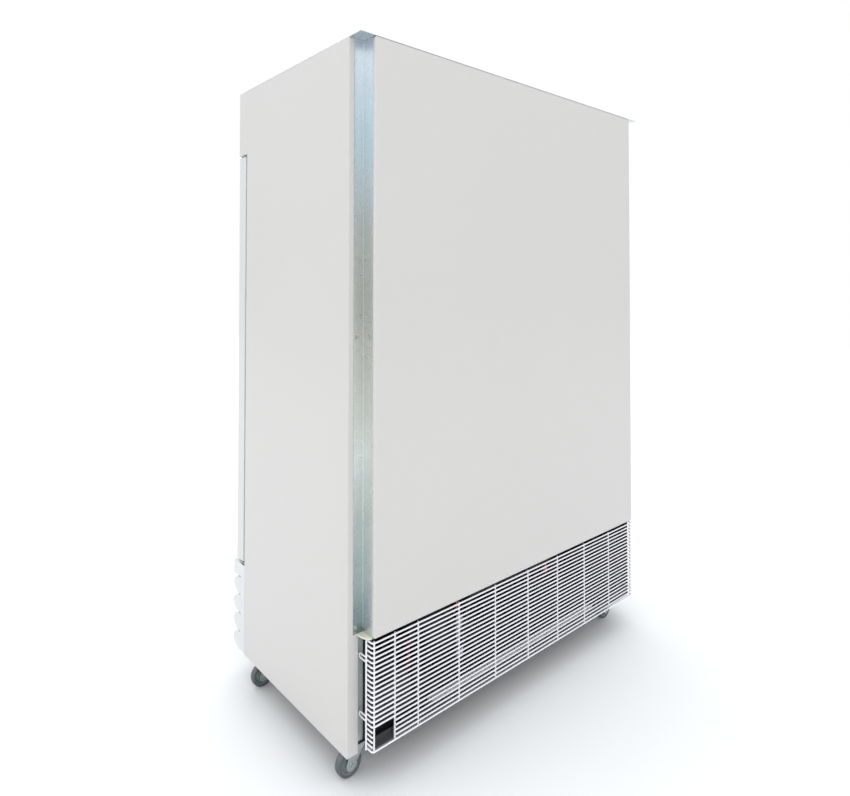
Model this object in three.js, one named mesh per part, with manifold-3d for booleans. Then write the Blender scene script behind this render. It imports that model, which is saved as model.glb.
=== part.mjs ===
// Two-door reach-in refrigerator: an insulated case on four swivel casters, with a
// bottom-mounted machine bay, glass doors, a header and a wire guard over the rear of the bay.
// Millimetres, +Z up. The doors face -Y, +X is on the right of someone facing them, and the
// origin is on the floor, under the middle of the object's box.
import * as THREE from "three";
import { mergeVertices } from "three/addons/utils/BufferGeometryUtils.js";
import Module from "manifold-3d";

const wasm = await Module();
wasm.setup();

// ---- Driving dimensions ----
const WIDTH = 1347; // over the side panels
const HEIGHT = 1995; // floor to the top sheet
const CASE_DEPTH = 620; // a side panel, from its front edge to its rear crease
const REAR_STEP = 55; // the back panel stands this far behind the side panels
const DOOR_THICKNESS = 48;
const GASKET_THICKNESS = 12;
const HANDLE_REACH = 45; // a handle stands this far in front of its door

const SHEET = 1.2; // folded steel
const TOP_SHEET = 1.5;
const FACE_SHEET = 1.5; // the trim that faces the case front
const LINER_SHEET = 1.5;
const GAP = 0.3; // between pieces that touch

const SKIRT = 88; // floor to the lower edge of the side panels
const BAY_TOP = 397; // floor to the underside of the case
const CASE_PAN = 6; // depth of the pan under the case
const NOTCH = 48; // each rear corner of the case is notched in by this much
const SIDE_FLANGE = 34; // the side panel's folded rear edge, part of the way across the notch
const POST_LIP = 31; // width of the corner post's screwed lip
const BACK_HEM = 10; // depth of the back panel's folded edge

const WALL = 55; // insulation in the sides
const FLOOR_WALL = 52;
const CEILING_WALL = 63;
const REAR_WALL = 60;
const HEAD_WALL = 50; // insulation behind the header
const OPENING_DROP = 250; // top of the case opening, below the top of the case
const FRAME_OVERLAP = 3; // the front trim covers the liner's edge by this much
const FRAME_DROP = 47; // the front trim reaches this far below the case
const MULLION_WIDTH = 64;
const MULLION_DEPTH = 50;

const DOOR_DROP = 4; // a door reaches this far below the case
const DOOR_HEAD = 225; // top of a door, below the top of the case
const DOOR_GAP = 4; // between the two doors
const DOOR_SIDE_GAP = 1; // from a door's edge to the side of the case
const DOOR_RAIL = 58;
const GLASS_THICKNESS = 10;
const GLASS_BITE = 10; // how far the glass goes into each rail
const GLASS_CLEARANCE = 0.6;
const GASKET_WIDTH = 14;
const GASKET_LAP = 4; // from the case opening to the gasket
const PIVOT_INSET = 16; // hinge axis, from the side of the case
const PIN_RADIUS = 5;
const PIN_CLEARANCE = 0.6;
const PIN_LENGTH = 20;
const BRACKET_SHEET = 4;
const BRACKET_WIDTH = 40;
const BRACKET_LEG = 3;

const HEADER_HEIGHT = 217;
const HEADER_BORDER = 22;
const SIGN_THICKNESS = 3;

const GRILLE_DROP = 17; // top of the grille, below the case
const GRILLE_PROUD = 22; // the louvres stand this far in front of the doors
const GRILLE_DEPTH = 50; // one louvre, front to back
const GRILLE_SHEET = 2;
const LOUVRES = 4;
const LOUVRE_STEPS = 9; // facets round one louvre
const LOUVRE_GAP = 5;
const GRILLE_STRIP = 45; // height of the flat strip over the louvres

const PAN_HEIGHT = 108; // floor to the underside of the base pan
const PAN_SHEET = 2;
const PAN_LIP = 30;
const PAN_REAR_GAP = 15; // from the pan's rear edge to the plane of the back panel
const BAY_WALL_INSET = 56;
const PAD = { length: 90, width: 68, thickness: 4 };

const GUARD_WIRE = 4.4;
const GUARD_PITCH = 12.7;
const GUARD_BOTTOM = 112;
const GUARD_HEADROOM = 4; // at least this much between the guard and the case
const GUARD_INSET = 44.5; // the guard's side wires, from the side of the case
const GUARD_RETURN = 27;
const GUARD_BITE = 0.4; // how deep crossing wires are welded into each other
const GUARD_COLUMNS = [0];
const HATCH = { column: 553, firstWire: 1, lastWire: 4 }; // the hole for a drain or lead
const HOOK = { heights: [190, 343], length: 30, rise: 6 };

const SHELVES = 4; // on each side
const FIRST_SHELF_RISE = 25; // over the floor of the room
const SHELF = { front: -225, back: 262, thickness: 8, rim: 6, bar: 5, slots: 9 };
const SHELF_CENTRE_GAP = 16; // between the left and right shelves
const SHELF_SIDE_GAP = 6;
const STANDARD = { width: 16, depth: 10, foot: 15, head: 45 };
const LUG = { length: 18, thickness: 6, width: 14 };

const WHEEL_RADIUS = 37.5;
const WHEEL_SIDES = 20;
const AXLE_RADIUS = 4;
const AXLE_CLEARANCE = 0.6;
const CASTER_TRAIL = 28;
const CASTER_INSET = 65.5; // swivel axis, from the side of the case
const CASTER_REAR_INSET = 50; // swivel axis, from the side panel's rear crease
const CASTER_FRONT_INSET = 60;

// ---- Stations worked out from the driving dimensions ----
const HALF = WIDTH / 2;
const DEPTH = HANDLE_REACH + DOOR_THICKNESS + GASKET_THICKNESS + CASE_DEPTH + REAR_STEP;
const BACK = DEPTH / 2;
const SIDE_REAR = BACK - REAR_STEP;
const CASE_FRONT = SIDE_REAR - CASE_DEPTH;
const DOOR_BACK = CASE_FRONT - GASKET_THICKNESS;
const DOOR_FRONT = DOOR_BACK - DOOR_THICKNESS;
const TOP_UNDERSIDE = HEIGHT - TOP_SHEET;
const CASE_BOTTOM = BAY_TOP + CASE_PAN;
const OPENING_TOP = HEIGHT - OPENING_DROP;
const FRAME_BOTTOM = BAY_TOP - FRAME_DROP;
const DOOR_BOTTOM = BAY_TOP - DOOR_DROP;
const DOOR_TOP = HEIGHT - DOOR_HEAD;
const HEADER_BOTTOM = HEIGHT - HEADER_HEIGHT;
const GRILLE_TOP = BAY_TOP - GRILLE_DROP;
const INSIDE_SKIN = HALF - SHEET - GAP; // just inside a side panel
const POST_FACE = HALF - NOTCH;
const CAVITY = {
  half: HALF - WALL,
  front: CASE_FRONT + HEAD_WALL,
  back: BACK - REAR_WALL,
  bottom: CASE_BOTTOM + FLOOR_WALL,
  top: HEIGHT - CEILING_WALL,
};
const LINER_INSIDE = CAVITY.half - LINER_SHEET;
const FIRST_SHELF = CAVITY.bottom + FIRST_SHELF_RISE;
const SHELF_PITCH = Math.floor((OPENING_TOP - FIRST_SHELF) / SHELVES) - 6;
const SHELF_LEVELS = Array.from({ length: SHELVES }, (_, i) => FIRST_SHELF + i * SHELF_PITCH);
const STANDARD_BOTTOM = CAVITY.bottom + STANDARD.foot;
const STANDARD_TOP = OPENING_TOP - STANDARD.head;
const PAN_TOP = PAN_HEIGHT + PAN_SHEET;
const PAN_REAR = BACK - PAN_REAR_GAP;
const GUARD_X = HALF - GUARD_INSET;
const GUARD_WIRES = 1 + Math.floor((BAY_TOP - GUARD_HEADROOM - GUARD_BOTTOM) / GUARD_PITCH);
const PIVOT_X = HALF - PIVOT_INSET;
const PIVOT_Y = (DOOR_FRONT + DOOR_BACK) / 2;

// ---- Solids ----
const box = (x0, x1, y0, y1, z0, z1) =>
  new THREE.BoxGeometry(x1 - x0, y1 - y0, z1 - z0).translate(
    (x0 + x1) / 2,
    (y0 + y1) / 2,
    (z0 + z1) / 2,
  );

// A cylinder from one height to another along an axis, centred on (u, v) of the other two axes.
function rod(axis, radius, from, to, u, v, sides = 16) {
  const g = new THREE.CylinderGeometry(radius, radius, to - from, sides);
  const mid = (from + to) / 2;
  if (axis === "x") return g.rotateZ(Math.PI / 2).translate(mid, u, v);
  if (axis === "y") return g.translate(u, mid, v);
  return g.rotateX(Math.PI / 2).translate(u, v, mid);
}

// A plan outline, as [x, y] points, drawn up from z0 to z1.
function plan(points, z0, z1) {
  const shape = new THREE.Shape(points.map(([x, y]) => new THREE.Vector2(x, y)));
  return new THREE.ExtrudeGeometry(shape, { depth: z1 - z0, bevelEnabled: false }).translate(0, 0, z0);
}

// A side view outline, as [y, z] points, drawn from x0 to x1.
function profile(points, x0, x1) {
  const shape = new THREE.Shape(points.map(([y, z]) => new THREE.Vector2(y, z)));
  const g = new THREE.ExtrudeGeometry(shape, { depth: x1 - x0, bevelEnabled: false });
  const m = new THREE.Matrix4().set(0, 0, 1, x0, 1, 0, 0, 0, 0, 1, 0, 0, 0, 0, 0, 1);
  return g.applyMatrix4(m);
}

// The closed mesh of a geometry as a manifold-3d solid.
function solid(geometry) {
  const g = geometry.clone();
  g.deleteAttribute("normal");
  g.deleteAttribute("uv");
  const merged = mergeVertices(g, 1e-4);
  const count = merged.attributes.position.count;
  const index = merged.index ? merged.index.array : [...Array(count).keys()];
  return new wasm.Manifold(
    new wasm.Mesh({
      numProp: 3,
      vertProperties: new Float32Array(merged.attributes.position.array),
      triVerts: new Uint32Array(index),
    }),
  );
}

function geometryOf(made) {
  const mesh = made.getMesh();
  const g = new THREE.BufferGeometry();
  g.setAttribute("position", new THREE.BufferAttribute(new Float32Array(mesh.vertProperties), 3));
  g.setIndex(new THREE.BufferAttribute(new Uint32Array(mesh.triVerts), 1));
  g.computeVertexNormals();
  return g;
}

const joined = (...parts) => parts.map(solid).reduce((a, b) => a.add(b));
const join = (...parts) => geometryOf(joined(...parts));
const cut = (body, ...tools) => geometryOf(tools.map(solid).reduce((a, b) => a.subtract(b), solid(body)));

const mirrored = (geometry) => {
  const g = geometry.clone().applyMatrix4(new THREE.Matrix4().makeScale(-1, 1, 1));
  const plain = g.index ? g.toNonIndexed() : g;
  const p = plain.attributes.position;
  for (let i = 0; i < p.count; i += 3) {
    const [x, y, z] = [p.getX(i), p.getY(i), p.getZ(i)];
    p.setXYZ(i, p.getX(i + 1), p.getY(i + 1), p.getZ(i + 1));
    p.setXYZ(i + 1, x, y, z);
  }
  return plain;
};

// ---- Materials ----
const finish = (color, roughness, metalness, extra = {}) =>
  new THREE.MeshStandardMaterial({ color, roughness, metalness, ...extra });
const WHITE_STEEL = finish(0xdcdbd8, 0.38, 0.1);
const GALVANISED = finish(0xaeb7b8, 0.38, 0.9);
const FOAM = finish(0xe6d9a6, 0.95, 0);
const LINER_WHITE = finish(0xf2f3f2, 0.45, 0.05);
const GUARD_WHITE = finish(0xf3f3f6, 0.4, 0.05);
const SIGN_WHITE = finish(0xf6f7f8, 0.3, 0);
const SHELF_WHITE = finish(0xeeeeee, 0.45, 0.1);
const GLASS = finish(0xd8e6e6, 0.05, 0, { transparent: true, opacity: 0.35 });
const RUBBER = finish(0x4c4f52, 0.8, 0);
const CHROME = finish(0xc8ccce, 0.22, 1);
const ALUMINIUM = finish(0xc2c6c9, 0.35, 0.9);
const BLACK_STEEL = finish(0x17181a, 0.5, 0.3);
const BLACK_PLASTIC = finish(0x1d1e20, 0.55, 0);
const COPPER = finish(0xb87550, 0.3, 1);
const LAMP = finish(0xffffff, 0.3, 0);

const refrigerator = new THREE.Group();

function add(name, geometry, material) {
  const mesh = new THREE.Mesh(geometry, material);
  mesh.name = name;
  refrigerator.add(mesh);
  return mesh;
}

// A piece and its mirror image: the first name is on the +X side.
function pair(name, geometry, material) {
  add(`${name}_right`, geometry, material);
  add(`${name}_left`, mirrored(geometry), material);
}

// ---- Outer case ----
function sidePanel() {
  const outline = [
    [HALF - SHEET, CASE_FRONT],
    [HALF, CASE_FRONT],
    [HALF, SIDE_REAR],
    [HALF - SIDE_FLANGE, SIDE_REAR],
    [HALF - SIDE_FLANGE, SIDE_REAR - SHEET],
    [HALF - SHEET, SIDE_REAR - SHEET],
  ];
  return plan(outline, SKIRT, TOP_UNDERSIDE - GAP);
}

function cornerPost() {
  const front = SIDE_REAR + GAP;
  const outline = [
    [POST_FACE - SHEET, front],
    [POST_FACE + POST_LIP, front],
    [POST_FACE + POST_LIP, front + SHEET],
    [POST_FACE, front + SHEET],
    [POST_FACE, BACK - BACK_HEM - GAP],
    [POST_FACE - SHEET, BACK - BACK_HEM - GAP],
  ];
  return plan(outline, CASE_BOTTOM + GAP, TOP_UNDERSIDE - GAP);
}

function backPanel() {
  const [bottom, top] = [CASE_BOTTOM + GAP, TOP_UNDERSIDE - GAP];
  const front = BACK - BACK_HEM;
  return cut(
    box(-POST_FACE, POST_FACE, front, BACK, bottom, top),
    box(-POST_FACE + SHEET, POST_FACE - SHEET, front - 1, BACK - SHEET, bottom + SHEET, top - SHEET),
  );
}

// The pan that closes the underside of the case, with its edges turned down.
function casePan() {
  const front = CASE_FRONT + FACE_SHEET + GAP;
  const block = (inset, z0, z1) =>
    joined(
      box(-INSIDE_SKIN + inset, INSIDE_SKIN - inset, front + inset, SIDE_REAR - SHEET - GAP - inset, z0, z1),
      box(-POST_FACE + inset, POST_FACE - inset, front + inset, BACK - inset, z0, z1),
    );
  return geometryOf(block(0, BAY_TOP, CASE_BOTTOM).subtract(block(SHEET, BAY_TOP - 1, CASE_BOTTOM - SHEET)));
}

// The room inside the case, grown by a margin: the part behind the doors, and the throat that
// reaches forward to the front trim.
function room(margin, frontY) {
  const { half, front, back, bottom, top } = CAVITY;
  return joined(
    box(-half - margin, half + margin, front - margin, back + margin, bottom - margin, top + margin),
    box(-half - margin, half + margin, frontY, front + WALL, bottom - margin, OPENING_TOP + margin),
  );
}

function insulation() {
  const front = CASE_FRONT + FACE_SHEET + GAP;
  const [bottom, top] = [CASE_BOTTOM + GAP, TOP_UNDERSIDE - GAP];
  const rearHalf = POST_FACE - SHEET - GAP;
  const rear = BACK - SHEET - GAP;
  const block = joined(
    box(-INSIDE_SKIN, INSIDE_SKIN, front, SIDE_REAR - SHEET - GAP, bottom, top),
    box(-rearHalf, rearHalf, front + 1, rear, bottom + SHEET + GAP, top - SHEET - GAP),
  );
  return geometryOf(block.subtract(room(GAP, front - 1)));
}

function liner() {
  const front = CASE_FRONT + FACE_SHEET + GAP;
  return geometryOf(room(0, front).subtract(room(-LINER_SHEET, front - 1)));
}

function frontFrame() {
  const { bottom } = CAVITY;
  const half = LINER_INSIDE - FRAME_OVERLAP;
  return cut(
    box(-INSIDE_SKIN, INSIDE_SKIN, CASE_FRONT, CASE_FRONT + FACE_SHEET, FRAME_BOTTOM, TOP_UNDERSIDE - GAP),
    box(-half, half, CASE_FRONT - 1, CASE_FRONT + 3, bottom + FRAME_OVERLAP, OPENING_TOP - FRAME_OVERLAP),
  );
}

function mullion() {
  const half = MULLION_WIDTH / 2;
  const rear = CASE_FRONT + MULLION_DEPTH;
  const bottom = CAVITY.bottom + FRAME_OVERLAP + GAP;
  const post = box(-half, half, CASE_FRONT, rear, bottom, OPENING_TOP - FRAME_OVERLAP - GAP);
  const lugs = SHELF_LEVELS.map((z) =>
    box(-half + 6, half - 6, rear - 1, rear + LUG.length + 10, z - GAP - LUG.thickness, z - GAP),
  );
  return join(post, ...lugs);
}

add("side_panel_right", sidePanel(), WHITE_STEEL);
add("side_panel_left", mirrored(sidePanel()), WHITE_STEEL);
add("top_panel", box(-HALF, HALF, CASE_FRONT, BACK, TOP_UNDERSIDE, HEIGHT), GALVANISED);
add("back_panel", backPanel(), WHITE_STEEL);
pair("corner_post", cornerPost(), GALVANISED);
add("case_pan", casePan(), GALVANISED);
add("insulation", insulation(), FOAM);
add("liner", liner(), LINER_WHITE);
add("front_frame", frontFrame(), WHITE_STEEL);
add("mullion", mullion(), WHITE_STEEL);

// ---- Header ----
const BRACKET = { x0: HALF - 3 - BRACKET_WIDTH, x1: HALF - 3, back: CASE_FRONT - GAP };
const TOP_BRACKET_Z = (DOOR_TOP + HEADER_BOTTOM - BRACKET_SHEET) / 2;

function headerHousing() {
  const rear = CASE_FRONT - GAP;
  const wall = FACE_SHEET;
  const legSlot = (side) => {
    const [a, b] = [side * (BRACKET.x0 - 1), side * (BRACKET.x1 + 1)];
    return box(Math.min(a, b), Math.max(a, b), rear - BRACKET_LEG - 1, rear + 1, HEADER_BOTTOM - 1, HEADER_BOTTOM + 5);
  };
  return cut(
    box(-HALF, HALF, DOOR_FRONT, rear, HEADER_BOTTOM, HEIGHT),
    box(-HALF + wall, HALF - wall, DOOR_FRONT + wall, rear + 1, HEADER_BOTTOM + wall, HEIGHT - wall),
    box(
      -HALF + HEADER_BORDER,
      HALF - HEADER_BORDER,
      DOOR_FRONT - 1,
      DOOR_FRONT + wall + 1,
      HEADER_BOTTOM + HEADER_BORDER,
      HEIGHT - HEADER_BORDER,
    ),
    legSlot(1),
    legSlot(-1),
  );
}

const SIGN_LAP = 10;
add("header_housing", headerHousing(), WHITE_STEEL);
add(
  "header_sign",
  box(
    -HALF + HEADER_BORDER - SIGN_LAP,
    HALF - HEADER_BORDER + SIGN_LAP,
    DOOR_FRONT + FACE_SHEET + GAP,
    DOOR_FRONT + FACE_SHEET + GAP + SIGN_THICKNESS,
    HEADER_BOTTOM + HEADER_BORDER - SIGN_LAP,
    HEIGHT - HEADER_BORDER + SIGN_LAP,
  ),
  SIGN_WHITE,
);

// ---- Doors: modelled on the +X side, hinged at their outer edge ----
const DOOR = { x0: DOOR_GAP / 2, x1: HALF - DOOR_SIDE_GAP };

function doorFrame() {
  const { x0, x1 } = DOOR;
  const mid = (DOOR_FRONT + DOOR_BACK) / 2;
  const pocket = GLASS_THICKNESS / 2 + GLASS_CLEARANCE;
  const bite = DOOR_RAIL - GLASS_BITE - GLASS_CLEARANCE;
  const bore = PIN_RADIUS + PIN_CLEARANCE;
  return cut(
    box(x0, x1, DOOR_FRONT, DOOR_BACK, DOOR_BOTTOM, DOOR_TOP),
    box(
      x0 + DOOR_RAIL,
      x1 - DOOR_RAIL,
      DOOR_FRONT - 1,
      DOOR_BACK + 1,
      DOOR_BOTTOM + DOOR_RAIL,
      DOOR_TOP - DOOR_RAIL,
    ),
    box(x0 + bite, x1 - bite, mid - pocket, mid + pocket, DOOR_BOTTOM + bite, DOOR_TOP - bite),
    rod("z", bore, DOOR_TOP - PIN_LENGTH - 2, DOOR_TOP + 1, PIVOT_X, PIVOT_Y, 20),
    rod("z", bore, DOOR_BOTTOM - 1, DOOR_BOTTOM + PIN_LENGTH + 2, PIVOT_X, PIVOT_Y, 20),
  );
}

function doorGlass() {
  const { x0, x1 } = DOOR;
  const bite = DOOR_RAIL - GLASS_BITE;
  return box(
    x0 + bite,
    x1 - bite,
    PIVOT_Y - GLASS_THICKNESS / 2,
    PIVOT_Y + GLASS_THICKNESS / 2,
    DOOR_BOTTOM + bite,
    DOOR_TOP - bite,
  );
}

// The gasket seals on the front trim, just outside the case opening, and on the mullion.
function doorGasket() {
  const outer = {
    x0: MULLION_WIDTH / 2 - 6 - GASKET_WIDTH,
    x1: LINER_INSIDE + GASKET_LAP + GASKET_WIDTH,
    z0: CAVITY.bottom + FRAME_OVERLAP - GASKET_LAP - GASKET_WIDTH,
    z1: OPENING_TOP - FRAME_OVERLAP + GASKET_LAP + GASKET_WIDTH,
  };
  const [front, back] = [DOOR_BACK + GAP, CASE_FRONT - GAP];
  return cut(
    box(outer.x0, outer.x1, front, back, outer.z0, outer.z1),
    box(
      outer.x0 + GASKET_WIDTH,
      outer.x1 - GASKET_WIDTH,
      front - 1,
      back + 1,
      outer.z0 + GASKET_WIDTH,
      outer.z1 - GASKET_WIDTH,
    ),
  );
}

const HANDLE = { length: 420, radius: 9, post: 6.5, postInset: 40 };

function doorHandle() {
  const x = DOOR.x0 + DOOR_RAIL / 2;
  const y = DOOR_FRONT - HANDLE_REACH + HANDLE.radius;
  const bottom = Math.round((DOOR_BOTTOM + DOOR_TOP - HANDLE.length) / 2);
  const top = bottom + HANDLE.length;
  const posts = [bottom + HANDLE.postInset, top - HANDLE.postInset].map((z) =>
    rod("y", HANDLE.post, y, DOOR_FRONT - GAP, x, z, 12),
  );
  return join(rod("z", HANDLE.radius, bottom, top, x, y, 16), ...posts);
}

// A plate and its leg against the case front, with the pin that the door turns on.
function hingeBracket(plateZ, legZ0, legZ1, pinZ0, pinZ1) {
  const { x0, x1, back } = BRACKET;
  return join(
    box(x0, x1, PIVOT_Y - 16, back, plateZ, plateZ + BRACKET_SHEET),
    box(x0, x1, back - BRACKET_LEG, back, legZ0, legZ1),
    rod("z", PIN_RADIUS, pinZ0, pinZ1, PIVOT_X, PIVOT_Y, 16),
  );
}

const LOW_PLATE = DOOR_BOTTOM - 5 - BRACKET_SHEET;
pair("door_frame", doorFrame(), WHITE_STEEL);
pair("door_glass", doorGlass(), GLASS);
pair("door_gasket", doorGasket(), RUBBER);
pair("door_handle", doorHandle(), ALUMINIUM);
pair(
  "top_hinge",
  hingeBracket(TOP_BRACKET_Z, TOP_BRACKET_Z, TOP_BRACKET_Z + 32, DOOR_TOP - PIN_LENGTH, TOP_BRACKET_Z + 1),
  CHROME,
);
pair(
  "bottom_hinge",
  hingeBracket(LOW_PLATE, FRAME_BOTTOM + 2, LOW_PLATE + 1, LOW_PLATE + 1, DOOR_BOTTOM + PIN_LENGTH),
  CHROME,
);

// ---- Shelves and the standards that carry them ----
function standard(x, y) {
  const { width, depth } = STANDARD;
  const strip = box(x - depth, x, y - width / 2, y + width / 2, STANDARD_BOTTOM, STANDARD_TOP);
  const lugs = SHELF_LEVELS.map((z) =>
    box(x - depth - LUG.length, x - 1, y - LUG.width / 2, y + LUG.width / 2, z - GAP - LUG.thickness, z - GAP),
  );
  return join(strip, ...lugs);
}

function centreStandard() {
  const { width, depth } = STANDARD;
  const back = CAVITY.back - LINER_SHEET - GAP;
  const strip = box(-width, width, back - depth, back, STANDARD_BOTTOM, STANDARD_TOP);
  const lugs = SHELF_LEVELS.map((z) =>
    box(-width, width, SHELF.back - LUG.length, back - 1, z - GAP - LUG.thickness, z - GAP),
  );
  return join(strip, ...lugs);
}

const SHELF_X = {
  x0: SHELF_CENTRE_GAP / 2,
  x1: LINER_INSIDE - GAP - STANDARD.depth - SHELF_SIDE_GAP,
};

function shelf(z) {
  const { front, back, thickness, rim, bar, slots } = SHELF;
  const { x0, x1 } = SHELF_X;
  const slot = (x1 - x0 - 2 * rim - (slots - 1) * bar) / slots;
  const holes = Array.from({ length: slots }, (_, i) => {
    const left = x0 + rim + i * (slot + bar);
    return box(left, left + slot, front + rim, back - rim, z - 1, z + thickness + 1);
  });
  return cut(box(x0, x1, front, back, z, z + thickness), ...holes);
}

const STANDARD_X = LINER_INSIDE - GAP;
pair("front_standard", standard(STANDARD_X, SHELF.front + 25), GALVANISED);
pair("rear_standard", standard(STANDARD_X, SHELF.back - 25), GALVANISED);
add("centre_standard", centreStandard(), GALVANISED);
SHELF_LEVELS.forEach((z, i) => pair(`shelf_${i + 1}`, shelf(z), SHELF_WHITE));

// ---- Evaporator and lamp, at the top of the room ----
const EVAPORATOR = { half: 330, front: 60, bottom: HEIGHT - 235, sheet: 1.5 };
const EVAPORATOR_FAN = { x: 165, radius: 64, opening: 70, depth: 20, hub: 16, motor: 22 };
const EVAPORATOR_TOP = CAVITY.top - LINER_SHEET - GAP;
const EVAPORATOR_BACK = CAVITY.back - LINER_SHEET - GAP;
const FAN_Z = (EVAPORATOR.bottom + EVAPORATOR_TOP) / 2;

function evaporatorCover() {
  const { half, front, bottom, sheet } = EVAPORATOR;
  const shell = solid(box(-half, half, front, EVAPORATOR_BACK, bottom, EVAPORATOR_TOP))
    .subtract(solid(box(-half + sheet, half - sheet, front + sheet, EVAPORATOR_BACK + 1, bottom + sheet, EVAPORATOR_TOP - sheet)));
  const { x, opening, motor, depth } = EVAPORATOR_FAN;
  const motorFront = front + sheet + 6 + depth + GAP;
  return geometryOf(
    [-x, x].reduce(
      (made, at) =>
        made
          .subtract(solid(rod("y", opening, front - 1, front + sheet + 1, at, FAN_Z, 24)))
          .add(solid(rod("y", motor, motorFront, motorFront + 28, at, FAN_Z, 16)))
          .add(solid(box(at - 6, at + 6, motorFront + 8, motorFront + 20, FAN_Z, EVAPORATOR_TOP - 1))),
      shell,
    ),
  );
}

// Hub and pitched blades that turn about Y. The front of the hub is at y0.
function fan(radius, hub, depth, blades, x, y0, z) {
  const parts = [rod("y", hub, y0, y0 + depth, 0, 0, 16)];
  for (let i = 0; i < blades; i++) {
    const blade = new THREE.BoxGeometry(radius - hub + 3, 1.6, radius * 0.62);
    blade.rotateX(THREE.MathUtils.degToRad(Math.min(32, (depth / radius) * 90)));
    blade.translate((radius + hub - 3) / 2, y0 + depth / 2, 0);
    blade.rotateY((i / blades) * 2 * Math.PI);
    parts.push(blade);
  }
  const disc = solid(rod("y", radius, y0, y0 + depth, 0, 0, 24));
  return geometryOf(joined(...parts).intersect(disc)).translate(x, 0, z);
}

const evaporatorFan = (x) =>
  fan(EVAPORATOR_FAN.radius, EVAPORATOR_FAN.hub, EVAPORATOR_FAN.depth, 4, x, EVAPORATOR.front + EVAPORATOR.sheet + 6, FAN_Z);

add("evaporator_cover", evaporatorCover(), LINER_WHITE);
const EVAPORATOR_COIL = { half: 275, front: 165, depth: 110, bottom: EVAPORATOR.bottom + 25, height: 110 };
const { half: coilHalf, front: coilFront, depth: coilDepth, bottom: coilBottom, height: coilHeight } = EVAPORATOR_COIL;
add(
  "evaporator_coil",
  box(-coilHalf, coilHalf, coilFront, coilFront + coilDepth, coilBottom, coilBottom + coilHeight),
  ALUMINIUM,
);
add("evaporator_fan_right", evaporatorFan(EVAPORATOR_FAN.x), BLACK_PLASTIC);
add("evaporator_fan_left", evaporatorFan(-EVAPORATOR_FAN.x), BLACK_PLASTIC);
const LAMP_BOX = { inset: 48, depth: 22, rise: 11, height: 28 };

function interiorLamp() {
  const half = LINER_INSIDE - LAMP_BOX.inset;
  const front = CAVITY.front + LINER_SHEET + GAP;
  const bottom = OPENING_TOP + LAMP_BOX.rise;
  return box(-half, half, front, front + LAMP_BOX.depth, bottom, bottom + LAMP_BOX.height);
}

add("interior_lamp", interiorLamp(), LAMP);

// ---- Machine bay ----
function basePan() {
  const wallX = HALF - BAY_WALL_INSET;
  const front = CASE_FRONT + 6;
  const wallTop = BAY_TOP - GAP;
  const walls = [-1, 1].map((s) => {
    const [a, b] = [s * wallX, s * (wallX - SHEET)];
    return box(Math.min(a, b), Math.max(a, b), front, PAN_REAR, PAN_HEIGHT, wallTop);
  });
  const pads = [-1, 1].flatMap((s) =>
    CASTER_Y.map((y) => {
      const x = s * (HALF - CASTER_INSET);
      return box(x - PAD.length / 2, x + PAD.length / 2, y - PAD.width / 2, y + PAD.width / 2, PAD_UNDERSIDE, PAN_HEIGHT + 1);
    }),
  );
  return join(
    box(-INSIDE_SKIN, INSIDE_SKIN, front, SIDE_REAR - SHEET - GAP, PAN_HEIGHT, PAN_TOP),
    box(-wallX, wallX, front, PAN_REAR, PAN_HEIGHT, PAN_TOP),
    box(-wallX, wallX, PAN_REAR - PAN_SHEET, PAN_REAR, PAN_HEIGHT, PAN_TOP + PAN_LIP),
    box(-wallX, wallX, front, front + PAN_SHEET, PAN_HEIGHT, PAN_TOP + PAN_LIP),
    ...walls,
    ...pads,
  );
}

function compressor() {
  const outline = [
    [0, 8],
    [62, 8],
    [84, 24],
    [88, 60],
    [88, 66],
    [92, 67],
    [92, 73],
    [88, 74],
    [86, 140],
    [70, 178],
    [36, 192],
    [0, 196],
  ].map(([r, z]) => new THREE.Vector2(r, z));
  const shell = new THREE.LatheGeometry(outline, 24).rotateX(Math.PI / 2);
  const foot = box(-105, 105, -70, 70, 0, 9);
  const terminal = box(60, 106, -32, 32, 90, 150);
  return join(shell, foot, terminal).translate(COMPRESSOR.x, COMPRESSOR.y, PAN_TOP + GAP);
}

const COMPRESSOR = { x: 250, y: 170 };
const CONDENSER = { x0: -430, x1: -30, y0: -240, y1: -178, z0: PAN_TOP + 8, z1: BAY_TOP - 25 };
const CONDENSER_FAN = { x: -230, z: 246, radius: 105, opening: 112, hub: 26, depth: 34 };
const SHROUD = { y0: CONDENSER.y1 + GAP, y1: CONDENSER.y1 + 58 };

// Block of fins with the end plates and the return bends of its tubes.
function condenserCoil() {
  const { x0, x1, y0, y1, z0, z1 } = CONDENSER;
  const bends = [];
  for (let z = z0 + 30; z < z1 - 40; z += 52) {
    bends.push(box(x1 - 1, x1 + 14, (y0 + y1) / 2 - 5, (y0 + y1) / 2 + 5, z, z + 34));
    bends.push(box(x0 - 14, x0 + 1, (y0 + y1) / 2 - 5, (y0 + y1) / 2 + 5, z, z + 34));
  }
  return join(box(x0, x1, y0, y1, z0, z1), box(x0 + 20, x1 - 20, y0 + 10, y1 - 10, PAN_TOP + GAP, z0 + 1), ...bends);
}

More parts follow.
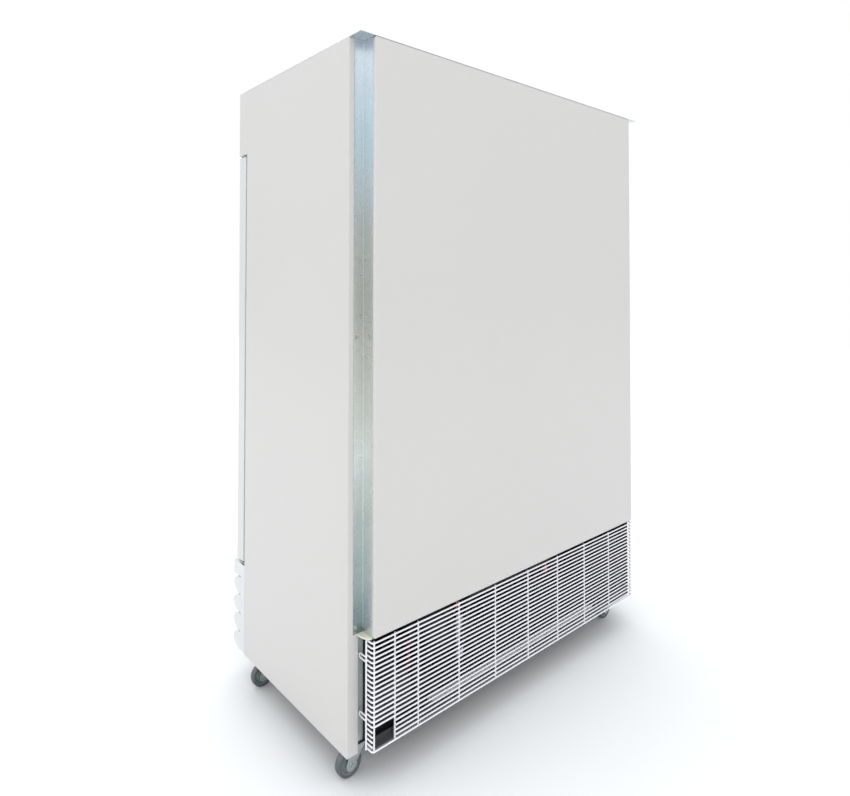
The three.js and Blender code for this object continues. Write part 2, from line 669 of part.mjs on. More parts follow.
function fanShroud() {
  const { x, z, opening, depth } = CONDENSER_FAN;
  const { x0, x1, z0, z1 } = CONDENSER;
  const { y0, y1 } = SHROUD;
  const motorFront = y0 + 12 + depth + GAP;
  const shell = solid(box(x0, x1, y0, y1, z0, z1))
    .subtract(solid(box(x0 + SHEET, x1 - SHEET, y0 - 1, y1 - SHEET, z0 + SHEET, z1 - SHEET)))
    .subtract(solid(rod("y", opening, y1 - SHEET - 1, y1 + 1, x, z, 28)));
  return geometryOf(
    shell
      .add(solid(rod("y", 38, motorFront, motorFront + 62, x, z, 20)))
      .add(solid(box(x0 + 40, x1 - 40, y1 - 1, y1 + 3, z - 9, z + 9)))
      .add(solid(box(x - 60, x + 60, y1 - 1, y1 + 12, z - 9, z + 9))),
  );
}

// The discharge tube, from the compressor's shell to the condenser's first bend.
function refrigerantLine() {
  const { x, y } = COMPRESSOR;
  const start = PAN_TOP + GAP;
  const route = [
    [x - 87.6, y, start + 110],
    [x - 112, y, start + 110],
    [x - 130, y - 4, start + 130],
    [x - 132, y - 10, start + 190],
    [x - 140, y - 30, start + 226],
    [x - 170, y - 60, start + 234],
    [x - 205, y - 220, start + 232],
    [x - 214, y - 330, start + 214],
    [x - 226, CONDENSER.y0 + 31, 326],
    [x - 246, CONDENSER.y0 + 31, 321],
    [CONDENSER.x1 + 14.6, CONDENSER.y0 + 31, 321],
  ].map((p) => new THREE.Vector3(...p));
  const curve = new THREE.CatmullRomCurve3(route, false, "centripetal");
  const ring = new THREE.Shape();
  ring.absarc(0, 0, 5, 0, 2 * Math.PI);
  return new THREE.ExtrudeGeometry(ring, { extrudePath: curve, steps: 30, curveSegments: 4, bevelEnabled: false });
}

// Lead-tray box that holds the relay, capacitor and temperature control.
function controlBox() {
  const [x0, x1, y0, y1, z0, z1] = [470, 608, 190, 352, PAN_TOP + GAP, 232];
  const ribs = [0, 1, 2].map((i) => box(x0 + 30 + i * 32, x0 + 42 + i * 32, y0 + 20, y1 - 20, z1 - 1, z1 + 3));
  return join(box(x0, x1, y0, y1, z0, z1), ...ribs);
}

const CASTER_Y = [CASE_FRONT + CASTER_FRONT_INSET, SIDE_REAR - CASTER_REAR_INSET];
const PAD_UNDERSIDE = PAN_HEIGHT - PAD.thickness;
add("base_pan", basePan(), BLACK_STEEL);
add("compressor", compressor(), BLACK_STEEL);
add("condenser_coil", condenserCoil(), ALUMINIUM);
add("condenser_shroud", fanShroud(), BLACK_STEEL);
add(
  "condenser_fan",
  fan(CONDENSER_FAN.radius, CONDENSER_FAN.hub, CONDENSER_FAN.depth, 5, CONDENSER_FAN.x, SHROUD.y0 + 12, CONDENSER_FAN.z),
  ALUMINIUM,
);
add("refrigerant_line", refrigerantLine(), COPPER);
add("control_box", controlBox(), BLACK_PLASTIC);

// ---- Louvred front grille ----
function frontGrille() {
  const front = DOOR_FRONT - GRILLE_PROUD;
  const notch = front + GRILLE_DEPTH;
  const rear = CASE_FRONT - 4;
  const stripBottom = GRILLE_TOP - GRILLE_STRIP;
  const pitch = (stripBottom - SKIRT) / LOUVRES;
  const rise = (pitch - LOUVRE_GAP) / 2;
  const bow = (inset, from, to, zMid) =>
    Array.from({ length: LOUVRE_STEPS + 1 }, (_, i) => {
      const a = from + ((to - from) * i) / LOUVRE_STEPS;
      return [notch - (GRILLE_DEPTH - inset) * Math.sin(a), zMid + (rise - inset) * Math.cos(a)];
    });
  const louvre = (zMid) =>
    profile([...bow(0, 0, Math.PI, zMid), ...bow(GRILLE_SHEET, Math.PI, 0, zMid)], -HALF + 1, HALF - 1);
  const cheek = (zMid) => {
    const inset = GRILLE_SHEET / 2;
    return [...bow(inset, 0, Math.PI, zMid), [notch + 1, zMid - rise + inset], [notch + 1, zMid + rise - inset]];
  };
  const middles = Array.from({ length: LOUVRES }, (_, i) => stripBottom - pitch * (i + 0.5));
  const ends = [-1, 1].flatMap((s) => {
    const [a, b] = [s * (HALF - 1.5), s * (HALF - 1.5 - GRILLE_SHEET)].sort((p, q) => p - q);
    return [
      box(a, b, notch - 6, rear, SKIRT + 2, GRILLE_TOP - 0.5),
      box(a, b, front + 0.5, notch, stripBottom + 1, GRILLE_TOP - 0.5),
      ...middles.map((z) => profile(cheek(z), a, b)),
    ];
  });
  const ribs = [-HALF / 3, HALF / 3].map((x) => box(x - 1.5, x + 1.5, notch - 8, notch + 2, SKIRT + 3, GRILLE_TOP - 1));
  return join(
    box(-HALF + 1, HALF - 1, front, front + GRILLE_SHEET, stripBottom, GRILLE_TOP),
    box(-HALF + 1, HALF - 1, front, notch, GRILLE_TOP - GRILLE_SHEET, GRILLE_TOP),
    ...middles.map(louvre),
    ...ends,
    ...ribs,
  );
}

add("front_grille", frontGrille(), WHITE_STEEL);

// ---- Wire guard over the rear of the machine bay ----
function rearGuard() {
  const r = GUARD_WIRE / 2;
  const rear = BACK - r - 0.5;
  const side = GUARD_X;
  const end = rear - GUARD_RETURN;
  const top = GUARD_BOTTOM + (GUARD_WIRES - 1) * GUARD_PITCH;
  const wires = [];
  for (let i = 0; i < GUARD_WIRES; i++) {
    const z = GUARD_BOTTOM + i * GUARD_PITCH;
    const open = i >= HATCH.firstWire && i <= HATCH.lastWire;
    wires.push(box(-side - r, open ? HATCH.column + r : side + r, rear - r, rear + r, z - r, z + r));
    wires.push(box(side - r, side + r, end, rear + r, z - r, z + r));
    wires.push(box(-side - r, -side + r, end, rear + r, z - r, z + r));
  }
  const inner = rear - GUARD_WIRE + GUARD_BITE;
  for (const x of [HATCH.column, ...GUARD_COLUMNS])
    wires.push(box(x - r, x + r, inner - r, inner + r, GUARD_BOTTOM - r, top + r));
  const outer = side + GUARD_WIRE - GUARD_BITE;
  for (const s of [-1, 1]) {
    const [a, b] = [s * (outer - r), s * (outer + r)].sort((p, q) => p - q);
    wires.push(box(a, b, end, end + GUARD_WIRE, GUARD_BOTTOM - r, top + r));
    for (const z of HOOK.heights) {
      const tip = end - HOOK.length;
      wires.push(box(a, b, tip, end + 1, z + HOOK.rise - r, z + HOOK.rise + r));
      wires.push(box(a, b, tip, end + 1, z - HOOK.rise - r, z - HOOK.rise + r));
      wires.push(box(a, b, tip, tip + GUARD_WIRE, z - HOOK.rise - r, z + HOOK.rise + r));
    }
  }
  return geometryOf(wasm.Manifold.union(wires.map(solid)));
}

add("rear_guard", rearGuard(), GUARD_WHITE);

// ---- Casters: swivel fork and wheel, trailing towards +X ----
function casterFork(x, y) {
  const cheekOutline = [];
  const lobe = (cx, cz, radius, from, to, steps) => {
    for (let i = 0; i <= steps; i++) {
      const a = THREE.MathUtils.degToRad(from + ((to - from) * i) / steps);
      cheekOutline.push([cx + radius * Math.cos(a), cz + radius * Math.sin(a)]);
    }
  };
  lobe(CASTER_TRAIL, WHEEL_RADIUS, 17, 200, 380, 6);
  cheekOutline.push([27, 92], [-27, 92], [-27, 82]);
  const shape = new THREE.Shape(cheekOutline.map(([a, b]) => new THREE.Vector2(a, b)));
  const cheek = (y0) =>
    new THREE.ExtrudeGeometry(shape, { depth: 2.5, bevelEnabled: false }).rotateX(Math.PI / 2).translate(0, y0 + 2.5, 0);
  return join(
    cheek(-17.5),
    cheek(15),
    box(-27, 27, -17.5, 17.5, 84, 92.5),
    rod("z", 27, 92, 100, 0, 0, 20),
    rod("z", 10, 99, PAD_UNDERSIDE - GAP, 0, 0, 12),
    rod("y", AXLE_RADIUS, -20, 20, CASTER_TRAIL, WHEEL_RADIUS, 12),
    rod("y", 7, -21.5, -17, CASTER_TRAIL, WHEEL_RADIUS, 6),
    rod("y", 7, 17, 21.5, CASTER_TRAIL, WHEEL_RADIUS, 6),
  ).translate(x, y, 0);
}

// A faceted wheel with a facet, not a corner, on the floor.
function casterWheel(x, y) {
  const flat = 1 / Math.cos(Math.PI / WHEEL_SIDES);
  const bore = AXLE_RADIUS + AXLE_CLEARANCE;
  const outline = [
    [bore, -13],
    [14, -13],
    [30, -10],
    [WHEEL_RADIUS, -10],
    [WHEEL_RADIUS, 10],
    [30, 10],
    [14, 13],
    [bore, 13],
    [bore, -13],
  ].map(([r, w]) => new THREE.Vector2(r * flat, w));
  return new THREE.LatheGeometry(outline, WHEEL_SIDES, Math.PI / WHEEL_SIDES).translate(x + CASTER_TRAIL, y, WHEEL_RADIUS);
}

for (const [side, s] of [["right", 1], ["left", -1]]) {
  CASTER_Y.forEach((y, i) => {
    const place = `${i ? "rear" : "front"}_${side}`;
    const x = s * (HALF - CASTER_INSET);
    add(`caster_fork_${place}`, casterFork(x, y), CHROME);
    add(`caster_wheel_${place}`, casterWheel(x, y), RUBBER);
  });
}

export default refrigerator;
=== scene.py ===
"""Builds the looks of a two-door reach-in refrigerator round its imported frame. Metres, +Z up.

The doors face -Y. The case's rear corners are notched, with a galvanised post in each notch.
"""

import math

import bmesh
import bpy
from bpy.props import FloatProperty, FloatVectorProperty, IntProperty, PointerProperty
from mathutils import Matrix, Vector


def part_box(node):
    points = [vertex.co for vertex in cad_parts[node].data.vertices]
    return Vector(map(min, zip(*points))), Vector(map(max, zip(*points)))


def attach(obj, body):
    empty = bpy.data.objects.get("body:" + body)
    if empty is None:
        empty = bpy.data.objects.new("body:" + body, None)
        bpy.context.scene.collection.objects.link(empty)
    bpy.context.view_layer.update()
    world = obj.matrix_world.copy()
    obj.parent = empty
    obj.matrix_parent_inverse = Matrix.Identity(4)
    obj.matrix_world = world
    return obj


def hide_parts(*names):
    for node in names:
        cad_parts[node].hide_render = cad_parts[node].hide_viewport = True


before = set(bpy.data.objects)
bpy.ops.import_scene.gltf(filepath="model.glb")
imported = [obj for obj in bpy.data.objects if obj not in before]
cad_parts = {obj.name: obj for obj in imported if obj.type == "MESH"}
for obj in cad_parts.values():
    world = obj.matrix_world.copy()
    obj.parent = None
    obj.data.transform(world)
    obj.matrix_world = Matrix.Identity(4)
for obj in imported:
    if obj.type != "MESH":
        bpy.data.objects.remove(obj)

bl_info = {
    "name": "Reach-in Refrigerator",
    "version": (1, 0, 0),
    "blender": (4, 5, 0),
    "location": "3D View > Sidebar > Refrigerator",
    "description": "Makes a two-door reach-in refrigerator on casters, with a wire guard behind",
    "category": "Add Mesh",
}

SHEET = 0.0012
SIDE_FLANGE = 0.034  # how far the side panel turns in at the rear
SIDES = {"right": 1, "left": -1}
CORNERS = ("front_right", "rear_right", "front_left", "rear_left")
POST_SCREWS = (0.422, 1.188)
PAN_SETBACK = 0.013
SHELF_ROWS = (1, 2, 3, 4)
SLOT_PITCH = 0.0254

BROAD = 0.003  # a face this much of its perimeter squared isn't a strip
NEARLY_FLAT = 0.07  # radians
MUCH_LARGER = 12  # times the area of the next face

LOW, HIGH = 0, 1
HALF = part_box("side_panel_right")[HIGH].x
SIDE_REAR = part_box("side_panel_right")[HIGH].y
CASE_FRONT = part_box("side_panel_right")[LOW].y
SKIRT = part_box("side_panel_right")[LOW].z
POST_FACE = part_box("back_panel")[HIGH].x
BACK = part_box("back_panel")[HIGH].y


# ---- Shaping ----


def spot(x, y, z):
    return Vector((x, y, z))


def verts_of(geom):
    return [g for g in geom if isinstance(g, bmesh.types.BMVert)]


def edges_of(geom):
    return [g for g in geom if isinstance(g, bmesh.types.BMEdge)]


def faces_of(geom):
    return [g for g in geom if isinstance(g, bmesh.types.BMFace)]


def edges_at(verts):
    return list({e for v in verts for e in v.link_edges})


def spread(start, end, count):
    """Evenly spaced numbers, from the start to the end."""
    return [start + (end - start) * i / (count - 1) for i in range(count)]


def drawn_out(bm, geom, vector):
    """Extrudes faces, or bare edges, by a vector. Returns the far end's geometry."""
    if faces_of(geom):
        made = bmesh.ops.extrude_face_region(bm, geom=faces_of(geom))["geom"]
    else:
        made = bmesh.ops.extrude_edge_only(bm, edges=edges_of(geom))["geom"]
    bmesh.ops.translate(bm, vec=vector, verts=verts_of(made))
    if faces_of(geom):
        return made
    return verts_of(made) + [e for e in edges_of(made) if all(v in set(verts_of(made)) for v in e.verts)]


def swept(bm, geom, points, bend, steps=4):
    """Carries the geometry through the points, round a bend of that radius at each corner."""
    here, moving = points[0], geom
    for before, corner, after in zip(points, points[1:], points[2:] + [None]):
        ahead = (corner - before).normalized()
        if after is None:
            return drawn_out(bm, moving, corner - here)
        turn = (after - corner).normalized()
        angle = ahead.angle(turn)
        reach = bend * math.tan(angle / 2)
        moving = drawn_out(bm, moving, corner - ahead * reach - here)
        axis = ahead.cross(turn).normalized()
        centre = corner - ahead * reach + axis.cross(ahead) * bend
        moving = bmesh.ops.spin(
            bm, geom=moving, cent=centre, axis=axis, angle=angle, steps=steps, dvec=(0, 0, 0)
        )["geom_last"]
        here = corner + turn * reach
    return moving


def facing(direction, place):
    return Matrix.Translation(place) @ direction.to_track_quat("Z", "Y").to_matrix().to_4x4()


def wire(bm, points, radius, bend=0.006, sides=8, steps=3):
    """A round wire or tube through the points, closed at both ends."""
    points = [Vector(p) for p in points]
    place = facing(points[1] - points[0], points[0])
    disc = bmesh.ops.create_circle(bm, cap_ends=True, radius=radius, segments=sides, matrix=place)["verts"]
    swept(bm, list(disc[0].link_faces), points, bend, steps)


def spun(bm, geom, centre, axis, sides):
    bmesh.ops.spin(
        bm, geom=geom, cent=centre, axis=axis, angle=2 * math.pi, steps=sides, use_merge=True, dvec=(0, 0, 0)
    )


def hoop(bm, centre, axis, radius, thick, sides=40, section=8):
    """A closed ring of round wire."""
    axis = Vector(axis).normalized()
    out = axis.orthogonal().normalized()
    place = facing(axis.cross(out), Vector(centre) + out * radius)
    disc = bmesh.ops.create_circle(bm, radius=thick, segments=section, matrix=place)["verts"]
    spun(bm, edges_at(disc), centre, axis, sides)


def turned(bm, outline, centre, axis, sides=32):
    """Spins an outline of (radius, height) points about an axis. A closed one ends where it starts."""
    axis = Vector(axis).normalized()
    out = axis.orthogonal().normalized()
    verts = [bm.verts.new(Vector(centre) + out * r + axis * h) for r, h in outline]
    edges = [bm.edges.new(pair) for pair in zip(verts, verts[1:])]
    spun(bm, verts + edges, centre, axis, sides)
    bmesh.ops.remove_doubles(bm, verts=bm.verts, dist=1e-6)


def rounded(bm, geom, radius, segments=2, affect="EDGES", clamp=False):
    bmesh.ops.bevel(
        bm, geom=geom, offset=radius, segments=segments, profile=0.5,
        affect=affect, material=-1, clamp_overlap=clamp,
    )


def block(bm, low, high, radius=0.001, segments=2):
    """A box with rounded edges."""
    low, high = Vector(low), Vector(high)
    size = high - low
    place = Matrix.Translation((low + high) / 2) @ Matrix.Diagonal((*size, 1))
    corners = bmesh.ops.create_cube(bm, size=1, matrix=place)["verts"]
    if radius:
        rounded(bm, edges_at(corners), min(radius, min(size) * 0.45), segments)


def bar(bm, start, end, radius, sides=16, chamfer=0.0004):
    """A round bar with softened ends."""
    start, end = Vector(start), Vector(end)
    length = (end - start).length
    c = min(chamfer, radius * 0.5, length * 0.4)
    outline = [(0, 0), (radius - c, 0), (radius, c), (radius, length - c), (radius - c, length), (0, length)]
    turned(bm, outline, start, end - start, sides)


def hex_screw(bm, seat, normal, radius):
    """A hexagon screw head on its washer, standing on a surface."""
    normal = Vector(normal).normalized()
    rim, lip = radius * 0.86, radius * 0.28
    turned(bm, [(0, 0), (radius, 0), (radius, radius * 0.16), (rim, lip), (0, lip)], seat, normal, 20)
    place = facing(normal, Vector(seat) + normal * radius * 0.5)
    across = radius * 0.68
    head = bmesh.ops.create_cone(
        bm, cap_ends=True, segments=6, radius1=across, radius2=across, depth=radius * 0.6, matrix=place
    )["verts"]
    rounded(bm, edges_at(head), radius * 0.06)


def folded_sheet(bm, plan, low, high, bend, inward, thickness=SHEET):
    """Upright sheet metal, bent along a plan of (x, y) points. `inward` is a point on its inner side."""
    points = [spot(x, y, low) for x, y in plan]
    foot, head = bm.verts.new(points[0]), bm.verts.new(points[0] + spot(0, 0, high - low))
    edge = bm.edges.new((foot, head))
    before = set(bm.faces)
    swept(bm, [foot, head, edge], points, bend)
    made = [f for f in bm.faces if f not in before]
    thickened(bm, made, thickness, inward)


def thickened(bm, faces, thickness, inward):
    """Gives a sheet its thickness, on the side of the point `inward`."""
    bmesh.ops.recalc_face_normals(bm, faces=faces)
    widest = max(faces, key=lambda f: f.calc_area())
    widest.normal_update()
    if widest.normal.dot(Vector(inward) - widest.calc_center_median()) > 0:
        bmesh.ops.reverse_faces(bm, faces=faces)
    bmesh.ops.solidify(bm, geom=faces, thickness=thickness)


def clean_copy(node):
    """A CAD node's mesh with its vertices merged and its flat faces whole."""
    bm = bmesh.new()
    bm.from_mesh(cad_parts[node].data)
    bmesh.ops.remove_doubles(bm, verts=bm.verts, dist=1e-5)
    bmesh.ops.dissolve_limit(
        bm, angle_limit=math.radians(1.5), use_dissolve_boundaries=False, verts=bm.verts, edges=bm.edges
    )
    return bm


def soften(bm, radius, segments=2, least=35, wanted=lambda edge: True):
    """Rounds the sharp edges of a clean copy."""
    limit = math.radians(least)
    sharp = [e for e in bm.edges if len(e.link_faces) == 2 and e.calc_face_angle(0) > limit and wanted(e)]
    rounded(bm, sharp, radius, segments, clamp=True)


def to_side(bm, sign):
    """Moves what was made on the right to its own side."""
    if sign < 0:
        bmesh.ops.scale(bm, vec=(-1, 1, 1), verts=bm.verts)


def placed(name, bm, material):
    """Turns the bmesh into an object in the scene."""
    mesh = bpy.data.meshes.new(name)
    bm.to_mesh(mesh)
    bm.free()
    mesh.materials.append(material)
    obj = bpy.data.objects.new(name, mesh)
    bpy.context.scene.collection.objects.link(obj)
    return obj


def shaded(bm, limit):
    """Smooths rounded edges, and keeps broad flat faces flat beside the narrow ones that round them."""
    bmesh.ops.recalc_face_normals(bm, faces=bm.faces)
    bm.faces.index_update()
    areas = [face.calc_area() for face in bm.faces]
    broad = [area > BROAD * face.calc_perimeter() ** 2 for area, face in zip(areas, bm.faces)]
    for edge in bm.edges:
        angle = edge.calc_face_angle(0)
        edge.smooth = len(edge.link_faces) == 2 and angle < limit
        if edge.smooth and angle > NEARLY_FLAT:
            small, large = sorted((face.index for face in edge.link_faces), key=areas.__getitem__)
            edge.smooth = not (broad[large] and areas[large] > MUCH_LARGER * areas[small])
    for face in bm.faces:
        face.smooth = True


def piece(name, bm, finish, node=None, body="case", slot=None, smooth=32):
    """Turns the bmesh into a piece that rides on a body and stands for a CAD node, if one is given."""
    shaded(bm, math.radians(smooth))
    obj = placed(name, bm, finish())
    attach(obj, body)
    slot or finish.slot
    if node:
        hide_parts(node)


def softened_node(node, name, finish, radius, body="case"):
    """A piece with a CAD node's own shape, its sharp edges rounded."""
    bm = clean_copy(node)
    soften(bm, radius)
    piece(name, bm, finish, node, body)


def coat(node, finish):
    """Gives a CAD node that stays in view its finish."""
    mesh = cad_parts[node].data
    mesh.materials.clear()
    mesh.materials.append(finish())


# ---- Shared surface effects ----


def effect(name, inputs, outputs, fill):
    """A node group, built once: sockets are (name, type, default)."""
    if name in bpy.data.node_groups:
        return bpy.data.node_groups[name]
    tree = bpy.data.node_groups.new(name, "ShaderNodeTree")
    for label, kind, default in inputs:
        socket = tree.interface.new_socket(label, in_out="INPUT", socket_type=kind)
        socket.default_value = default
    for label, kind in outputs:
        tree.interface.new_socket(label, in_out="OUTPUT", socket_type=kind)
    fill(tree, tree.nodes.new("NodeGroupInput").outputs, tree.nodes.new("NodeGroupOutput").inputs)
    return tree


def node_in(tree, kind, **settings):
    node = tree.nodes.new(kind)
    for key, value in settings.items():
        setattr(node, key, value)
    return node


def sum_in(tree, operation, a, b, clamp=False):
    """A Math node on two sockets or numbers. Returns its result."""
    node = node_in(tree, "ShaderNodeMath", operation=operation, use_clamp=clamp)
    for socket, value in zip(node.inputs, (a, b)):
        if isinstance(value, (int, float)):
            socket.default_value = value
        else:
            tree.links.new(value, socket)
    return node.outputs[0]


def noise_in(tree, scale, detail=3.0, stretch=None):
    """3D noise on object coordinates, squeezed along the axes by `stretch`."""
    place = node_in(tree, "ShaderNodeTexCoord").outputs["Object"]
    if stretch:
        mapping = node_in(tree, "ShaderNodeMapping")
        mapping.inputs["Scale"].default_value = stretch
        tree.links.new(place, mapping.inputs["Vector"])
        place = mapping.outputs["Vector"]
    noise = node_in(tree, "ShaderNodeTexNoise")
    noise.inputs["Detail"].default_value = detail
    tree.links.new(place, noise.inputs["Vector"])
    if isinstance(scale, (int, float)):
        noise.inputs["Scale"].default_value = scale
    else:
        tree.links.new(scale, noise.inputs["Scale"])
    return noise.outputs[0]


def fine_texture():
    """The faint unevenness of paint, moulded plastic or drawn wire, as a normal."""

    def fill(tree, given, result):
        bump = node_in(tree, "ShaderNodeBump")
        bump.inputs["Strength"].default_value = 0.35
        tree.links.new(noise_in(tree, given["Scale"], 2.0), bump.inputs["Height"])
        tree.links.new(given["Depth"], bump.inputs["Distance"])
        tree.links.new(bump.outputs["Normal"], result["Normal"])

    sockets = [("Scale", "NodeSocketFloat", 700.0), ("Depth", "NodeSocketFloat", 0.0001)]
    return effect("Fine Texture", sockets, [("Normal", "NodeSocketVector")], fill)


def tone_drift():
    """Slow changes of tone over a surface: a tinted colour, and the plain value."""

    def fill(tree, given, result):
        drift = noise_in(tree, given["Scale"], 4.0)
        lift = sum_in(tree, "MULTIPLY", sum_in(tree, "SUBTRACT", drift, 0.5), given["Amount"])
        gain = sum_in(tree, "ADD", lift, 1.0)
        tint = node_in(tree, "ShaderNodeVectorMath", operation="SCALE")
        tree.links.new(given["Colour"], tint.inputs[0])
        tree.links.new(gain, tint.inputs["Scale"])
        tree.links.new(tint.outputs[0], result["Colour"])
        tree.links.new(drift, result["Value"])

    sockets = [
        ("Colour", "NodeSocketColor", (0.8, 0.8, 0.8, 1)),
        ("Scale", "NodeSocketFloat", 3.0),
        ("Amount", "NodeSocketFloat", 0.08),
    ]
    return effect("Tone Drift", sockets, [("Colour", "NodeSocketColor"), ("Value", "NodeSocketFloat")], fill)


def settled_dust():
    """Where dust lies: patchy, and only on faces that look up."""

    def fill(tree, given, result):
        normal = node_in(tree, "ShaderNodeNewGeometry").outputs["Normal"]
        split = node_in(tree, "ShaderNodeSeparateXYZ")
        tree.links.new(normal, split.inputs[0])
        up = sum_in(tree, "MULTIPLY", sum_in(tree, "SUBTRACT", split.outputs["Z"], 0.35), 1.5, clamp=True)
        patch = sum_in(tree, "MULTIPLY", up, noise_in(tree, 9.0, 5.0))
        tree.links.new(sum_in(tree, "MULTIPLY", patch, given["Amount"], clamp=True), result["Mask"])

    return effect(
        "Settled Dust", [("Amount", "NodeSocketFloat", 0.3)], [("Mask", "NodeSocketFloat")], fill
    )


def spangle_and_painted_light():
    """Zinc crystals, the upright streaks that rolling leaves, and a level for painted reflection and shade:
    it rises with height up the sheet, and drops low down on faces that look along Y.
    """

    def fill(tree, given, result):
        place = node_in(tree, "ShaderNodeTexCoord").outputs["Object"]
        cells = node_in(tree, "ShaderNodeTexVoronoi", feature="F1")
        tree.links.new(place, cells.inputs["Vector"])
        tree.links.new(given["Scale"], cells.inputs["Scale"])
        grey = node_in(tree, "ShaderNodeSeparateColor")
        tree.links.new(cells.outputs["Color"], grey.inputs[0])
        tree.links.new(grey.outputs[0], result["Crystals"])
        tree.links.new(noise_in(tree, 60.0, 3.0, (1.0, 1.0, 0.02)), result["Streaks"])
        split = node_in(tree, "ShaderNodeSeparateXYZ")
        tree.links.new(place, split.inputs[0])
        wander = sum_in(tree, "MULTIPLY", noise_in(tree, 6.0), 0.2)
        # Painted shade: faces that look along Y get a lower level, more so low down.
        facing = node_in(tree, "ShaderNodeSeparateXYZ")
        tree.links.new(node_in(tree, "ShaderNodeNewGeometry").outputs["Normal"], facing.inputs[0])
        low_down = sum_in(tree, "SUBTRACT", 1.0, sum_in(tree, "DIVIDE", split.outputs["Z"], 2.0))
        shift = sum_in(tree, "MULTIPLY", sum_in(tree, "ABSOLUTE", facing.outputs["Y"], 0.0), -0.3)
        painted_shade_y_faces = sum_in(tree, "MULTIPLY", shift, low_down)
        raised = sum_in(tree, "ADD", sum_in(tree, "DIVIDE", split.outputs["Z"], 2.0), wander)
        height = sum_in(tree, "ADD", raised, painted_shade_y_faces)
        tree.links.new(sum_in(tree, "SUBTRACT", height, 0.1, clamp=True), result["Level"])

    outputs = [("Crystals", "NodeSocketFloat"), ("Streaks", "NodeSocketFloat"), ("Level", "NodeSocketFloat")]
    return effect("Spangle And Painted Light", [("Scale", "NodeSocketFloat", 110.0)], outputs, fill)


# ---- Finishes ----


class Finish:
    """One material: its Principled shader, and short calls for the nodes that feed it."""

    def __init__(self, colour, roughness, metallic=0.0):
        self.material = bpy.data.materials.new("finish")
        self.material.use_nodes = True
        self.tree = self.material.node_tree
        self.shader = self.tree.nodes["Principled BSDF"]
        self.shader.inputs["Metallic"].default_value = metallic
        self.set("Roughness", roughness)
        self.set("Base Color", (*colour, 1))
        self.material.diffuse_color = (*colour, 1)

    def set(self, socket, value):
        self.shader.inputs[socket].default_value = value

    def place(self, group, **values):
        node = node_in(self.tree, "ShaderNodeGroup", node_tree=group)
        for key, value in values.items():
            node.inputs[key].default_value = value
        return node

    def feed(self, source, socket):
        self.tree.links.new(source, self.shader.inputs[socket])

    def range(self, source, low, high):
        node = node_in(self.tree, "ShaderNodeMapRange")
        node.inputs["To Min"].default_value, node.inputs["To Max"].default_value = low, high
        self.tree.links.new(source, node.inputs["Value"])
        return node.outputs[0]

    def blend(self, factor, a, b):
        """Mixes two colours, each a socket or three numbers."""
        node = node_in(self.tree, "ShaderNodeMix", data_type="RGBA")
        self.tree.links.new(factor, node.inputs["Factor"])
        for socket, value in ((node.inputs[6], a), (node.inputs[7], b)):
            if isinstance(value, tuple):
                socket.default_value = (*value, 1)
            else:
                self.tree.links.new(value, socket)
        return node.outputs[2]


def finish(slot):
    """Makes a finish's material once, however many pieces wear it, and ties it to its CAD slot."""

    def keep(maker):
        kept = []

        def get():
            if not kept:
                kept.append(maker().material)
                kept[0].name = maker.__name__
            return kept[0]

        get.slot = slot
        return get

    return keep


def painted(colour, roughness, drift=0.05, drift_scale=2.0, grain=650.0, depth=0.00012, dust=0.0):
    """Paint or plastic: drifting tone, uneven gloss, fine texture, and dust where it would lie."""
    made = Finish(colour, roughness)
    tone = made.place(tone_drift(), Colour=(*colour, 1), Scale=drift_scale, Amount=drift)
    shade = tone.outputs["Colour"]
    if dust:
        mask = made.place(settled_dust(), Amount=dust).outputs["Mask"]
        shade = made.blend(mask, shade, (0.50, 0.48, 0.44))
    made.feed(shade, "Base Color")
    made.feed(made.range(tone.outputs["Value"], roughness - 0.06, roughness + 0.08), "Roughness")
    made.feed(made.place(fine_texture(), Scale=grain, Depth=depth).outputs["Normal"], "Normal")
    return made


def bare_metal(colour, roughness, drift=0.12, drift_scale=30.0, dust=0.0):
    """Metal whose tone drifts in small patches, under a fine grain."""
    made = painted(colour, roughness, drift, drift_scale, 900.0, 0.00005, dust)
    made.set("Metallic", 1.0)
    return made


@finish("white_steel")
def powder_coat():
    settings = bpy.context.scene.fridge_case
    made = painted(tuple(settings.coat_colour), settings.coat_roughness, 0.035)
    made.set("Coat Weight", 0.12)
    made.set("Coat Roughness", 0.25)
    return made


@finish("galvanised")
def galvanised_sheet():
    colour = tuple(bpy.context.scene.fridge_case.zinc_colour)
    made = Finish(colour, 0.3, 1.0)
    zinc = made.place(spangle_and_painted_light(), Scale=150.0)
    # Painted reflection and shade: the ramp turns the level into bands, dark teal at the bottom, bright and
    # grey bands between, bluish at the top.
    level = node_in(made.tree, "ShaderNodeValToRGB")
    made.tree.links.new(zinc.outputs["Level"], level.inputs[0])
    stops = level.color_ramp.elements
    stops[0].position, stops[0].color = 0.0, (0.19, 0.25, 0.26, 1)
    stops[1].position, stops[1].color = 0.96, (0.66, 0.71, 0.75, 1)
    for place, shade in (
        (0.10, (0.40, 0.47, 0.46)),
        (0.17, (0.52, 0.56, 0.54)),
        (0.25, (0.80, 0.84, 0.83)),
        (0.5, (0.69, 0.69, 0.64)),
        (0.68, (0.57, 0.59, 0.57)),
        (0.84, (0.56, 0.64, 0.68)),
    ):
        stops.new(place).color = (*shade, 1)
    pale = made.blend(made.range(zinc.outputs["Crystals"], 0.0, 0.05), level.outputs[0], (0.85, 0.88, 0.90))
    streaked = made.blend(made.range(zinc.outputs["Streaks"], 0.0, 0.30), pale, colour)
    made.feed(streaked, "Base Color")
    made.feed(made.range(zinc.outputs["Crystals"], 0.27, 0.33), "Roughness")
    made.feed(made.place(fine_texture(), Scale=90.0, Depth=0.00001).outputs["Normal"], "Normal")
    return made


